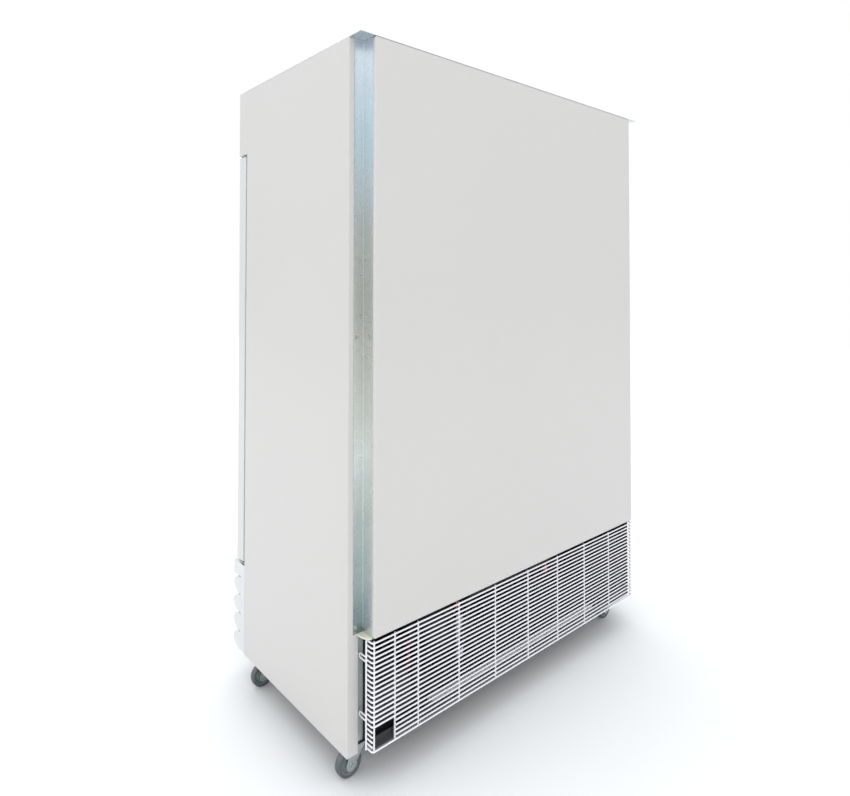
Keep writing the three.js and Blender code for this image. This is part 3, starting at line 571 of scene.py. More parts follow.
@finish("foam")
def foam_core():
    return painted((0.78, 0.70, 0.42), 0.9, 0.2, 25.0, 240.0, 0.0015)


@finish("liner_white")
def liner_white():
    return painted((0.80, 0.81, 0.80), 0.42, 0.03, 2.0, 420.0, 0.0001)


@finish("guard_white")
def guard_coat():
    made = painted((0.93, 0.92, 0.96), 0.34, 0.06, 40.0, 300.0, 0.0002, dust=0.25)
    made.set("Coat Weight", 0.2)
    return made


@finish("door_white")
def door_coat():
    made = painted(tuple(bpy.context.scene.fridge_doors.frame_colour), 0.35, 0.03, 2.5)
    made.set("Coat Weight", 0.15)
    return made


@finish("grille_white")
def grille_coat():
    return painted((0.72, 0.73, 0.74), 0.38, 0.05, 3.0, 500.0, 0.00012, dust=0.2)


@finish("door_glass")
def clear_glass():
    made = Finish(tuple(bpy.context.scene.fridge_doors.glass_tint), 0.02)
    made.set("Transmission Weight", 1.0)
    made.set("IOR", 1.45)
    made.feed(made.place(fine_texture(), Scale=3.0, Depth=0.00001).outputs["Normal"], "Normal")
    return made


@finish("black_plastic")
def glass_border():
    return painted((0.012, 0.012, 0.013), 0.18, 0.1, 20.0, 900.0, 0.00003)


@finish("gasket")
def gasket_rubber():
    return painted((0.10, 0.105, 0.11), 0.62, 0.14, 30.0, 900.0, 0.00015)


@finish("zinc")
def zinc_plate():
    return bare_metal((0.46, 0.51, 0.51), 0.22, 0.15, 60.0, dust=0.3)


@finish("bare_aluminium")
def satin_aluminium():
    return bare_metal((0.72, 0.73, 0.74), 0.28)


@finish("bare_aluminium")
def fin_aluminium():
    return bare_metal((0.62, 0.64, 0.66), 0.42, 0.25, 40.0, dust=0.6)


@finish("caster_tread")
def tread_rubber():
    return painted((0.10, 0.115, 0.12), 0.55, 0.3, 40.0, 500.0, 0.0003, dust=0.7)


@finish("caster_tread")
def hub_plastic():
    return painted((0.17, 0.20, 0.205), 0.42, 0.15, 50.0, 700.0, 0.0001, dust=0.5)


@finish("black_steel")
def black_enamel_and_painted_shade():
    return painted((0.006, 0.006, 0.007), 0.42, 0.3, 25.0, 260.0, 0.0002, dust=0.12)


@finish("black_plastic")
def black_plastic():
    return painted((0.02, 0.021, 0.023), 0.5, 0.2, 30.0, 800.0, 0.00015, dust=0.3)


@finish("copper_tube")
def copper_tube():
    return bare_metal((0.55, 0.28, 0.17), 0.3, 0.35, 35.0)


@finish("shelf_white")
def shelf_coat():
    return painted((0.80, 0.80, 0.80), 0.34, 0.05, 30.0, 300.0, 0.0001)


@finish("sign_white")
def sign_plastic():
    made = painted((0.86, 0.87, 0.88), 0.25, 0.03, 1.5, 300.0, 0.00005)
    made.set("Subsurface Weight", 0.05)
    return made


@finish("lamp")
def lamp_lens():
    made = painted((0.9, 0.92, 0.95), 0.3, 0.04, 10.0)
    made.set("Emission Color", (0.93, 0.97, 1.0, 1))
    made.set("Emission Strength", bpy.context.scene.fridge_interior.lamp_strength)
    return made


# A dull, less metallic copy of the zinc with a light base colour: painted light, for the bay plate that sits
# in deep shade.
@finish("galvanised")
def dull_zinc_painted_light():
    made = painted((0.62, 0.68, 0.67), 0.5, 0.35, 9.0, 300.0, 0.0001)
    made.set("Metallic", 0.35)
    return made


@finish("white_steel")
def ivory_lip():
    return painted((0.74, 0.73, 0.60), 0.45, 0.06, 20.0)


@finish("black_plastic")
def red_lead():
    return painted((0.45, 0.03, 0.02), 0.4, 0.15, 40.0)


@finish("liner_white")
def pale_plastic():
    return painted((0.82, 0.84, 0.87), 0.45, 0.08, 12.0, 500.0, 0.0001, dust=0.3)


@finish(None)
def floor_paint():
    return painted(tuple(bpy.context.scene.fridge_stage.floor_colour), 0.7, 0.01, 0.6)


# ---- Sizes and colours a user would change ----


class CaseSettings(bpy.types.PropertyGroup):
    coat_colour: FloatVectorProperty(
        name="Coat colour", description="Powder coat of the case",
        subtype="COLOR", default=(0.636, 0.621, 0.598),
    )
    coat_roughness: FloatProperty(
        name="Coat roughness", description="0 is gloss, 1 is matt",
        default=0.4, min=0, max=1, subtype="FACTOR",
    )
    zinc_colour: FloatVectorProperty(
        name="Zinc colour", description="Galvanised sheet", subtype="COLOR", default=(0.62, 0.66, 0.66)
    )
    fold_radius: FloatProperty(
        name="Fold radius", description="Outer radius of the bends", default=0.0025, unit="LENGTH"
    )
    screw_radius: FloatProperty(
        name="Screw washer radius", description="Screws in the corner posts", default=0.0055, unit="LENGTH"
    )


class DoorSettings(bpy.types.PropertyGroup):
    frame_colour: FloatVectorProperty(
        name="Frame colour", description="Coat of the door frames",
        subtype="COLOR", default=(0.66, 0.665, 0.66),
    )
    glass_tint: FloatVectorProperty(
        name="Glass tint", description="Colour of the panes", subtype="COLOR", default=(0.985, 0.995, 0.992)
    )
    border_width: FloatProperty(
        name="Border width", description="Dark band round the glass", default=0.016, unit="LENGTH"
    )


class InteriorSettings(bpy.types.PropertyGroup):
    shelf_wires: IntProperty(name="Shelf wires", description="Long wires in one shelf", default=25, min=3)
    shelf_wire: FloatProperty(
        name="Shelf wire radius", description="Radius of the long wires", default=0.0014, unit="LENGTH"
    )
    lamp_strength: FloatProperty(name="Lamp strength", description="Glow of its lens", default=1.2, min=0)


class GuardSettings(bpy.types.PropertyGroup):
    wire_radius: FloatProperty(
        name="Wire radius", description="Radius of the level wires", default=0.0023, unit="LENGTH"
    )
    column_pitch: FloatProperty(
        name="Column pitch", description="From one upright wire to the next", default=0.157, unit="LENGTH"
    )


class StageSettings(bpy.types.PropertyGroup):
    floor_colour: FloatVectorProperty(
        name="Floor colour", description="Floor under the refrigerator",
        subtype="COLOR", default=(0.93, 0.93, 0.93),
    )
    sky_strength: FloatProperty(name="Sky strength", description="Even light all round", default=1.0, min=0)
    key_power: FloatProperty(name="Key power", description="Large lamp's power", default=26, unit="POWER")


# ---- Case ----


def round_tray(bm, low, high, corner, rim, thickness):
    """A shallow tray, open towards -Y, with rounded corners and a rounded rim."""
    centre = spot((low.x + high.x) / 2, high.y, (low.z + high.z) / 2)
    place = Matrix.Translation(centre) @ Matrix.Rotation(math.pi / 2, 4, "X")
    verts = bmesh.ops.create_grid(bm, x_segments=1, y_segments=1, size=0.5, matrix=place)["verts"]
    bmesh.ops.translate(bm, vec=-centre, verts=verts)
    bmesh.ops.scale(bm, vec=(high.x - low.x, 1, high.z - low.z), verts=verts)
    bmesh.ops.translate(bm, vec=centre, verts=verts)
    rounded(bm, verts, corner, 4, "VERTICES")
    bm.faces.ensure_lookup_table()
    rims = list(bm.faces[0].edges)
    drawn_out(bm, rims, spot(0, low.y - high.y, 0))
    rounded(bm, rims, rim, 4)
    thickened(bm, bm.faces[:], thickness, centre - Vector((0, 0.1, 0)))


class FRIDGE_OT_case(bpy.types.Operator):
    """Makes the folded panels, the notched corners and the screws of the case"""

    bl_idname = "fridge.case"
    bl_label = "Case"

    def execute(self, context):
        settings = context.scene.fridge_case
        for side, sign in SIDES.items():
            self.side_panel(side, sign, settings)
            self.corner_post(side, sign, settings)
            self.notch_foot(side, sign)
            self.bay_plate(side, sign)
        bm = bmesh.new()
        low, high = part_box("back_panel")
        round_tray(bm, low, high, 0.004, settings.fold_radius, SHEET)
        piece("rear_panel", bm, powder_coat, "back_panel")

        bm = bmesh.new()
        block(bm, *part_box("top_panel"), radius=0.0005)
        piece("roof_sheet", bm, galvanised_sheet, "top_panel")
        bm = clean_copy("case_pan")
        for vert in bm.verts:
            if vert.co.y > SIDE_REAR:
                vert.co.y -= PAN_SETBACK
        soften(bm, 0.0003)
        piece("underside_pan", bm, galvanised_sheet, "case_pan")
        softened_node("front_frame", "opening_trim", powder_coat, 0.0003)
        coat("insulation", foam_core)
        return {"FINISHED"}

    def side_panel(self, side, sign, settings):
        bm = bmesh.new()
        low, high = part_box(f"side_panel_{side}")
        plan = [(HALF, CASE_FRONT), (HALF, SIDE_REAR), (HALF - SIDE_FLANGE, SIDE_REAR)]
        folded_sheet(bm, plan, low.z, high.z, settings.fold_radius, spot(0, 0, 1))
        to_side(bm, sign)
        piece(f"side_skin_{side}", bm, powder_coat, f"side_panel_{side}")

    def corner_post(self, side, sign, settings):
        bm = bmesh.new()
        low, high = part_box(f"corner_post_{side}")
        lip = low.y + SHEET
        outer = max(abs(low.x), abs(high.x))
        plan = [(outer, lip), (POST_FACE, lip), (POST_FACE, high.y)]
        folded_sheet(bm, plan, low.z, high.z, 0.0012, spot(0, 0, 1))
        to_side(bm, sign)
        piece(f"corner_angle_{side}", bm, galvanised_sheet, f"corner_post_{side}")
        bm = bmesh.new()
        middle = outer - 0.0066
        for height in POST_SCREWS:
            hex_screw(bm, spot(sign * middle, lip, height), (0, 1, 0), settings.screw_radius)
        piece(f"post_screws_{side}", bm, zinc_plate)

    def notch_foot(self, side, sign):
        """The ivory lip that closes the foot of the notch, hollowed towards the corner."""
        bm = bmesh.new()
        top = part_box(f"corner_post_{side}")[LOW].z - 0.0004
        front, rear = SIDE_REAR + 0.0004, BACK - 0.0115
        flat, width = 0.002, 0.0190
        outline = []
        for i in range(9):
            angle = math.pi / 2 * i / 8
            x = POST_FACE + flat + (width - flat) * math.cos(angle)
            outline.append((x, front + (rear - front) * math.sin(angle)))
        outline += [(POST_FACE - 0.0008, rear), (POST_FACE - 0.0008, front)]
        verts = [bm.verts.new((x, y, top)) for x, y in outline]
        face = bm.faces.new(verts)
        drawn_out(bm, [face], Vector((0, 0, -0.0048)))
        soften(bm, 0.0005)
        to_side(bm, sign)
        piece(f"notch_foot_{side}", bm, ivory_lip)

    def bay_plate(self, side, sign):
        """Folded sheet that closes the bay between the side panel's flange and the wall of the pan."""
        bm = bmesh.new()
        wall, face, edge = HALF - 0.0555, SIDE_REAR - 0.009, HALF - SIDE_FLANGE - 0.0003
        bottom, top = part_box("base_pan")[LOW].z + 0.0062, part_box("case_pan")[LOW].z - 0.0006
        plan = [(edge, face), (wall, face), (wall, face - 0.030)]
        folded_sheet(bm, plan, bottom, top, 0.0012, spot(0, 0, 1), 0.0008)
        flange = [(edge, face), (edge, SIDE_REAR - 0.0016)]
        folded_sheet(bm, flange, bottom, top, 0.002, spot(HALF, 0, 1))
        to_side(bm, sign)
        # Painted light: its zinc is a lightened copy, for a plate in deep shade.
        piece(f"bay_plate_{side}", bm, dull_zinc_painted_light)


# ---- Header ----


class FRIDGE_OT_header(bpy.types.Operator):
    """Makes the header over the doors and its blank sign"""

    bl_idname = "fridge.header"
    bl_label = "Header"

    def execute(self, context):
        bm = clean_copy("header_housing")
        low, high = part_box("header_housing")

        def outside(edge):
            return all(
                abs(abs(v.co.x) - high.x) < 1e-5 or abs(v.co.z - low.z) < 1e-5 or abs(v.co.z - high.z) < 1e-5
                for v in edge.verts
            ) and all(v.co.y < high.y - 0.01 for v in edge.verts)

        soften(bm, 0.0012, 3, wanted=outside)
        piece("header_shell", bm, powder_coat, "header_housing")

        bm = bmesh.new()
        low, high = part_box("header_sign")
        block(bm, low, high, 0.0012, 3)
        piece("blank_sign", bm, sign_plastic, "header_sign")
        self.trim(low, high)
        return {"FINISHED"}

    def trim(self, low, high):
        """A slim frame round the sign, in front of the header's face."""
        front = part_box("header_housing")[LOW].y
        x, z0, z1 = high.x - 0.010, low.z + 0.010, high.z - 0.010
        bm = bmesh.new()
        for a, b in (
            ((-x, z0), (x, z0 + 0.006)),
            ((-x, z1 - 0.006), (x, z1)),
            ((-x, z0 + 0.006), (-x + 0.006, z1 - 0.006)),
            ((x - 0.006, z0 + 0.006), (x, z1 - 0.006)),
        ):
            block(bm, (a[0], front + 0.0002, a[1]), (b[0], front + 0.0016, b[1]), 0.0004)
        piece("sign_trim", bm, satin_aluminium)


# ---- Doors ----


def ring_of(bm, low, high, inset, y0, y1, width, radius=0.0008):
    """Four mitred strips inside the outline of a box, as one closed ring."""
    section = [(0, y0), (width, y0), (width, y1), (0, y1)]
    x0, x1, z0, z1 = low.x + inset, high.x - inset, low.z + inset, high.z - inset
    corners = [(x0, z0, 1, 1), (x1, z0, -1, 1), (x1, z1, -1, -1), (x0, z1, 1, -1)]
    loops = [[bm.verts.new((x + sx * d, y, z + sz * d)) for d, y in section] for x, z, sx, sz in corners]
    for here, there in zip(loops, loops[1:] + loops[:1]):
        for i in range(4):
            j = (i + 1) % 4
            bm.faces.new((here[i], here[j], there[j], there[i]))
    if radius:
        long_edges = [e for e in bm.edges if not any(set(e.verts) <= set(loop) for loop in loops)]
        rounded(bm, long_edges, radius)


class FRIDGE_OT_doors(bpy.types.Operator):
    """Makes both doors: frame, glazing, gasket and handle, with their hinges"""

    bl_idname = "fridge.doors"
    bl_label = "Doors"

    PANE = 0.0032
    BORDER_INSET = 0.010
    BEAD_INSET = 0.0475
    BEAD_WIDTH = 0.0105

    def execute(self, context):
        settings = context.scene.fridge_doors
        for side in SIDES:
            body = f"door_{side}"
            bm = clean_copy(f"door_frame_{side}")
            soften(bm, 0.0022, 3, wanted=lambda e: e.calc_length() > 0.3)
            piece(f"door_rails_{side}", bm, door_coat, f"door_frame_{side}", body)
            self.glazing(side, body, settings)
            self.gasket(side, body)
            self.handle(side, body)
            for end in ("top", "bottom"):
                softened_node(f"{end}_hinge_{side}", f"{end}_bracket_{side}", zinc_plate, 0.0006)
        return {"FINISHED"}

    def glazing(self, side, body, settings):
        low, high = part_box(f"door_glass_{side}")
        bm = bmesh.new()
        block(bm, low, (high.x, low.y + self.PANE, high.z), 0.0004)
        block(bm, (low.x, high.y - self.PANE, low.z), high, 0.0004)
        piece(f"panes_{side}", bm, clear_glass, f"door_glass_{side}", body)
        bm = bmesh.new()
        front, rear = low.y + self.PANE + 0.0001, high.y - self.PANE - 0.0001
        ring_of(bm, low, high, self.BORDER_INSET, front, rear, settings.border_width, 0)
        piece(f"glass_border_{side}", bm, glass_border, body=body)
        bm = bmesh.new()
        low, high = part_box(f"door_frame_{side}")
        ring_of(bm, low, high, self.BEAD_INSET, low.y - 0.0006, low.y + 0.012, self.BEAD_WIDTH)
        piece(f"glazing_bead_{side}", bm, satin_aluminium, body=body)

    def gasket(self, side, body):
        """A flange on the door, a narrower bellows, and the magnet strip that meets the trim."""
        low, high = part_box(f"door_gasket_{side}")
        bm = bmesh.new()
        for inset, width, front, rear in (
            (0.0, 0.014, low.y, low.y + 0.003),
            (0.004, 0.006, low.y + 0.0025, high.y - 0.004),
            (0.0008, 0.0124, high.y - 0.0045, high.y),
        ):
            ring_of(bm, low, high, inset, front, rear, width, 0.0006)
        piece(f"bellows_gasket_{side}", bm, gasket_rubber, f"door_gasket_{side}", body)

    def handle(self, side, body):
        low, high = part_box(f"door_handle_{side}")
        x = (low.x + high.x) / 2
        radius = (high.x - low.x) / 2
        y = low.y + radius
        bm = bmesh.new()
        bar(bm, (x, y, low.z), (x, y, high.z), radius, 28, 0.002)
        for z in (low.z + 0.04, high.z - 0.04):
            bar(bm, (x, y, z), (x, high.y, z), 0.0065, 24)
            collar = [(0, 0), (0.0112, 0), (0.0112, 0.0016), (0.0096, 0.003), (0, 0.003)]
            turned(bm, collar, (x, high.y, z), (0, -1, 0), 28)
        piece(f"pull_bar_{side}", bm, satin_aluminium, f"door_handle_{side}", body)


# ---- Interior ----


def slotted_strip(bm, place, width, depth, bottom, top, facing_x):
    """A shelf standard: a channel with a row of slots. `place` is (x, y) of its mounting face."""
    length = top - bottom
    rows = 2 * round(length / SLOT_PITCH) + 1
    grid = bmesh.ops.create_grid(bm, x_segments=3, y_segments=rows, size=0.5)["verts"]
    bmesh.ops.scale(bm, vec=(width, length, 1), verts=grid)

    def is_slot(face):
        middle = face.calc_center_median()
        row = round((middle.y + length / 2) * rows / length - 0.5)
        return abs(middle.x) < width / 6 and row % 2

    bmesh.ops.delete(bm, geom=[f for f in bm.faces if is_slot(f)], context="FACES")
    outer = [e for e in bm.edges if all(abs(abs(v.co.x) - width / 2) < 1e-6 for v in e.verts)]
    drawn_out(bm, outer, spot(0, 0, 0.0006 - depth))
    turn = Matrix.Rotation(math.pi / 2, 4, "X")
    if facing_x:
        turn = Matrix.Rotation(facing_x * math.pi / 2, 4, "Z") @ turn
    place = Matrix.Translation((*place, (bottom + top) / 2))
    bmesh.ops.transform(bm, matrix=place @ turn, verts=bm.verts)


class FRIDGE_OT_interior(bpy.types.Operator):
    """Makes what shows through the glass: liner, standards, wire shelves, cooler and lamp"""

    bl_idname = "fridge.interior"
    bl_label = "Interior"

    def execute(self, context):
        settings = context.scene.fridge_interior
        softened_node("liner", "inner_liner", liner_white, 0.0007)
        self.mullion()
        self.standards()
        for row in SHELF_ROWS:
            for side in SIDES:
                self.shelf(row, side, settings)
        self.cooler()
        self.lamp()
        return {"FINISHED"}

    def mullion(self):
        bm = clean_copy("mullion")
        soften(bm, 0.002, 3, wanted=lambda e: e.calc_length() > 0.2)
        piece("centre_mullion", bm, powder_coat, "mullion", slot="mullion_white")
        low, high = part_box("mullion")
        bm = bmesh.new()
        rear = CASE_FRONT + 0.050
        for x in (-0.022, 0.022):
            start = (x - 0.006, rear + 0.0003, low.z + 0.05)
            block(bm, start, (x + 0.006, rear + 0.007, high.z - 0.05), 0.002, 3)
        piece("mullion_lamps", bm, lamp_lens)

    def standards(self):
        names = ["front_standard_right", "front_standard_left", "rear_standard_right", "rear_standard_left"]
        for name in names + ["centre_standard"]:
            low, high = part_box(name)
            bm = bmesh.new()
            middle = (low.y + high.y) / 2
            if name == "centre_standard":
                slotted_strip(bm, (0, high.y - 0.010), 0.032, 0.010, low.z, high.z, 0)
                inside = spot(0, 0.6, 1)
            else:
                sign = 1 if name.endswith("right") else -1
                wall = max(abs(low.x), abs(high.x))
                slotted_strip(bm, (sign * (wall - 0.010), middle), 0.016, 0.010, low.z, high.z, -sign)
                inside = spot(low.x * 5, middle, 1)
            thickened(bm, bm.faces[:], 0.0010, inside)
            for row in SHELF_ROWS:
                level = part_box(f"shelf_{row}_right")[LOW].z
                self.clip(bm, name, low, high, level)
            piece(f"slotted_{name}", bm, galvanised_sheet, name, smooth=25)

    def clip(self, bm, name, low, high, level):
        """A hooked shelf clip under one shelf."""
        top = level - 0.0003
        if name == "centre_standard":
            block(bm, (low.x, low.y, top - 0.002), (high.x, high.y - 0.010, top), 0.0005)
            block(bm, (low.x, low.y, top - 0.006), (high.x, low.y + 0.002, top - 0.001), 0.0005)
            return
        middle = (low.y + high.y) / 2
        sign = 1 if low.x > 0 else -1
        tip, wall = sorted((low.x, high.x), key=abs)
        reach = sorted((tip, wall - sign * 0.010))
        block(bm, (reach[0], middle - 0.007, top - 0.002), (reach[1], middle + 0.007, top), 0.0005)
        end = sorted((tip, tip + sign * 0.002))
        block(bm, (end[0], middle - 0.007, top - 0.006), (end[1], middle + 0.007, top - 0.001), 0.0005)

    def shelf(self, row, side, settings):
        low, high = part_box(f"shelf_{row}_{side}")
        rim = 0.0026
        x0, x1, y0, y1 = low.x + rim, high.x - rim, low.y + rim, high.y - rim
        level = low.z + rim
        bm = bmesh.new()
        middle = (x0 + x1) / 2
        outline = [(middle, y0), (x1, y0), (x1, y1), (x0, y1), (x0, y0), (middle, y0)]
        wire(bm, [(x, y, level) for x, y in outline], rim, 0.012)
        for y in (y0 + 0.11, (y0 + y1) / 2, y1 - 0.11):
            wire(bm, [(x0, y, level), (x1, y, level)], rim * 0.85)
        radius = settings.shelf_wire
        top = level + rim + radius * 0.7
        for x in spread(x0 + 0.006, x1 - 0.006, settings.shelf_wires):
            wire(bm, [(x, y0 - 0.001, top), (x, y1 + 0.001, top)], radius, sides=6)
        piece(f"wire_shelf_{row}_{side}", bm, shelf_coat, f"shelf_{row}_{side}")

    def cooler(self):
        softened_node("evaporator_cover", "cooler_cover", liner_white, 0.0007)
        low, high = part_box("evaporator_coil")
        bm = bmesh.new()
        for x in spread(low.x + 0.006, high.x - 0.006, 90):
            block(bm, (x - 0.0003, low.y, low.z), (x + 0.0003, high.y, high.z), 0)
        for z in (low.z + 0.025, (low.z + high.z) / 2, high.z - 0.025):
            for y in (low.y + 0.03, high.y - 0.03):
                bar(bm, (low.x, y, z), (high.x, y, z), 0.005, 12)
        piece("cooler_fins", bm, fin_aluminium, "evaporator_coil")
        for side in SIDES:
            rotor = f"evaporator_rotor_{side}"
            softened_node(f"evaporator_fan_{side}", f"cooler_blades_{side}", black_plastic, 0.0004, rotor)
            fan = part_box(f"evaporator_fan_{side}")
            centre = (fan[LOW] + fan[HIGH]) / 2
            centre.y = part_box("evaporator_cover")[LOW].y - 0.003
            bm = bmesh.new()
            for radius in (0.020, 0.034, 0.048, 0.062, 0.076):
                hoop(bm, centre, (0, 1, 0), radius, 0.0012, 36, 6)
            for angle in range(0, 360, 60):
                ray = spot(math.cos(math.radians(angle)), 0, math.sin(math.radians(angle)))
                wire(bm, [centre + ray * 0.018, centre + ray * 0.0765], 0.0013, sides=6)
            piece(f"cooler_fan_guard_{side}", bm, zinc_plate)

    def lamp(self):
        low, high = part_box("interior_lamp")
        bm = bmesh.new()
        mid = (low + high) / 2
        bar(bm, (low.x + 0.014, mid.y, mid.z), (high.x - 0.014, mid.y, mid.z), 0.0108, 24, 0.001)
        piece("lamp_tube", bm, lamp_lens, "interior_lamp")
        bm = bmesh.new()
        for x0, x1 in ((low.x, low.x + 0.016), (high.x - 0.016, high.x)):
            block(bm, (x0, low.y, low.z), (x1, high.y, high.z), 0.002, 3)
        piece("lamp_sockets", bm, pale_plastic)


# ---- Machine bay ----


class FRIDGE_OT_machinery(bpy.types.Operator):
    """Makes the base pan and the refrigeration machinery on it"""

    bl_idname = "fridge.machinery"
    bl_label = "Machinery"

    def execute(self, context):
        # The pan's black enamel also paints the shade inside the bay.
        softened_node("base_pan", "machine_pan", black_enamel_and_painted_shade, 0.0005)
        self.compressor()
        self.condenser()
        softened_node("condenser_shroud", "fan_cowl", black_enamel_and_painted_shade, 0.0006)
        softened_node("condenser_fan", "fan_blades", satin_aluminium, 0.0005, "condenser_rotor")
        self.tubing()
        self.controls()
        # Painted shade: a black board that darkens the bay behind the guard.
        self.shade_boards()
        self.tray()
        return {"FINISHED"}

    def compressor(self):
        low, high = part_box("compressor")
        foot = low.z
        centre = spot(low.x + 0.105, (low.y + high.y) / 2, foot)
        bm = bmesh.new()
        shell = [(0, 0.010), (0.055, 0.010), (0.072, 0.014), (0.083, 0.024), (0.088, 0.040)]
        shell += [(0.088, 0.0655), (0.0915, 0.067), (0.0915, 0.073), (0.088, 0.0745)]
        shell += [(0.0872, 0.110), (0.086, 0.135), (0.083, 0.152), (0.076, 0.168)]
        shell += [(0.064, 0.181), (0.047, 0.190), (0.025, 0.195), (0, 0.196)]
        turned(bm, shell, centre, (0, 0, 1), 48)
        start = (low.x, low.y + 0.025, foot + 0.004)
        block(bm, start, (high.x - 0.002, high.y - 0.025, foot + 0.0085), 0.0015)
        piece("compressor_shell", bm, black_enamel_and_painted_shade, "compressor")
        bm = bmesh.new()
        bush = [(0.004, 0), (0.011, 0), (0.012, 0.004), (0.009, 0.006)]
        bush += [(0.011, 0.009), (0.010, 0.014), (0.004, 0.014), (0.004, 0)]
        for dx in (-0.092, 0.092):
            for dy in (-0.052, 0.052):
                turned(bm, bush, centre + spot(dx, dy, 0), (0, 0, 1), 20)
        piece("compressor_feet", bm, gasket_rubber)
        bm = bmesh.new()
        block(bm, centre + spot(0.062, -0.032, 0.090), centre + spot(0.106, 0.032, 0.150), 0.004, 3)
        piece("relay_cover", bm, black_plastic)
        bm = bmesh.new()
        x, y = low.x + 0.063, high.y + 0.0135
        bar(bm, (x, y, foot + 0.040), (x, y, foot + 0.165), 0.0115, 28, 0.002)
        piece("start_capacitor", bm, pale_plastic)

    def condenser(self):
        low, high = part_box("condenser_coil")
        x0, x1 = low.x + 0.014, high.x - 0.014
        bottom = low.z + 0.008
        bm = bmesh.new()
        for x in spread(x0 + 0.004, x1 - 0.004, 125):
            start = (x - 0.00025, low.y + 0.002, bottom + 0.002)
            block(bm, start, (x + 0.00025, high.y - 0.002, high.z - 0.003), 0)
        piece("condenser_fins", bm, fin_aluminium, "condenser_coil")
        bm = bmesh.new()
        for a, b in ((x0, x0 + 0.0015), (x1 - 0.0015, x1)):
            block(bm, (a, low.y, low.z), (b, high.y, high.z), 0.0004)
        block(bm, (x0, low.y, high.z - 0.002), (x1, high.y, high.z), 0.0004)
        block(bm, (x0, low.y, bottom), (x1, high.y, bottom + 0.0015), 0.0004)
        piece("condenser_ends", bm, galvanised_sheet)
        bm = bmesh.new()
        middle = (low.y + high.y) / 2
        bend, pitch = 0.013, 0.026
        for y in (middle - 0.016, middle + 0.016):
            z = bottom + 0.030
            run = [(x0 + 0.02, y, z)]
            way = 1
            while z < high.z - 0.03:
                end = x1 + bend if way > 0 else x0 - bend
                run += [(end, y, z), (end, y, z + pitch)]
                z += pitch
                way = -way
            run.append((x0 + 0.02 if way < 0 else x1 - 0.02, y, z))
            wire(bm, run, 0.0048, 0.0125, 10, 5)
        piece("condenser_tubes", bm, copper_tube)

    def tubing(self):
        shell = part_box("compressor")
        x, y = shell[LOW].x + 0.105, (shell[LOW].y + shell[HIGH].y) / 2
        foot = shell[LOW].z
        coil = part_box("condenser_coil")
        middle = (coil[LOW].y + coil[HIGH].y) / 2
        bm = bmesh.new()
        route = [
            (x - 0.087, y, foot + 0.110),
            (x - 0.128, y, foot + 0.110),
            (x - 0.134, y - 0.006, foot + 0.215),
            (x - 0.170, y - 0.060, foot + 0.232),
            (x - 0.205, y - 0.220, foot + 0.232),
            (x - 0.216, middle, foot + 0.214),
            (coil[HIGH].x, middle, foot + 0.211),
        ]
        wire(bm, route, 0.0048, 0.018, 12, 6)
        piece("discharge_tube", bm, copper_tube, "refrigerant_line")
        bm = bmesh.new()
        suction = [
            (x - 0.030, y + 0.081, foot + 0.070),
            (x - 0.030, y + 0.120, foot + 0.070),
            (x - 0.060, y + 0.135, foot + 0.230),
            (x - 0.330, y + 0.150, foot + 0.236),
            (x - 0.536, y + 0.120, foot + 0.236),
            (x - 0.536, y + 0.120, foot + 0.2855),
        ]
        wire(bm, suction, 0.0075, 0.020, 12, 6)
        piece("suction_tube_sleeve", bm, black_plastic)
        bm = bmesh.new()
        drier = spot(x - 0.536, y + 0.030, foot + 0.050)
        capsule = [(0, 0), (0.004, 0), (0.005, 0.012), (0.012, 0.022), (0.013, 0.030)]
        capsule += [(0.013, 0.100), (0.012, 0.108), (0.005, 0.118), (0.004, 0.132), (0, 0.132)]
        turned(bm, capsule, drier, (0, 0.25, 1), 24)
        liquid = [
            drier + spot(0, 0.032, 0.126),
            drier + spot(0, 0.040, 0.170),
            drier + spot(0.030, 0.060, 0.200),
            drier + spot(0.030, 0.060, 0.2355),
        ]
        wire(bm, liquid, 0.0025, 0.010, 10, 5)
        piece("liquid_tube_and_drier", bm, copper_tube)

    def controls(self):
        low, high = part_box("control_box")
        bm = bmesh.new()
        lid = high.z - 0.003
        block(bm, low, (high.x, high.y, lid - 0.014), 0.003, 3)
        block(bm, (low.x, low.y, lid - 0.0125), (high.x, high.y, lid), 0.003, 3)
        for i in range(3):
            x = low.x + 0.030 + i * 0.032
            block(bm, (x, low.y + 0.02, lid - 0.001), (x + 0.012, high.y - 0.02, high.z), 0.001)
        piece("switch_box", bm, black_plastic, "control_box")
        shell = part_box("compressor")
        start = spot(shell[HIGH].x - 0.004, (shell[LOW].y + shell[HIGH].y) / 2, shell[LOW].z + 0.12)
        for name, dz, material in (("red_wiring", 0.0, red_lead), ("black_wiring", -0.016, black_plastic)):
            bm = bmesh.new()
            route = [
                start + spot(0, 0.010 + dz, dz),
                start + spot(0.030, 0.014 + dz, dz),
                start + spot(0.045, 0.080, 0.020 + dz),
                start + spot(0.070, 0.110, -0.010 + dz),
                spot(low.x - 0.022, start.y + 0.10 + dz, low.z + 0.050 + dz),
                spot(low.x - 0.001, start.y + 0.10 + dz, low.z + 0.045 + dz),
            ]
            wire(bm, route, 0.0034, 0.012, 10, 5)
            piece(name, bm, material)

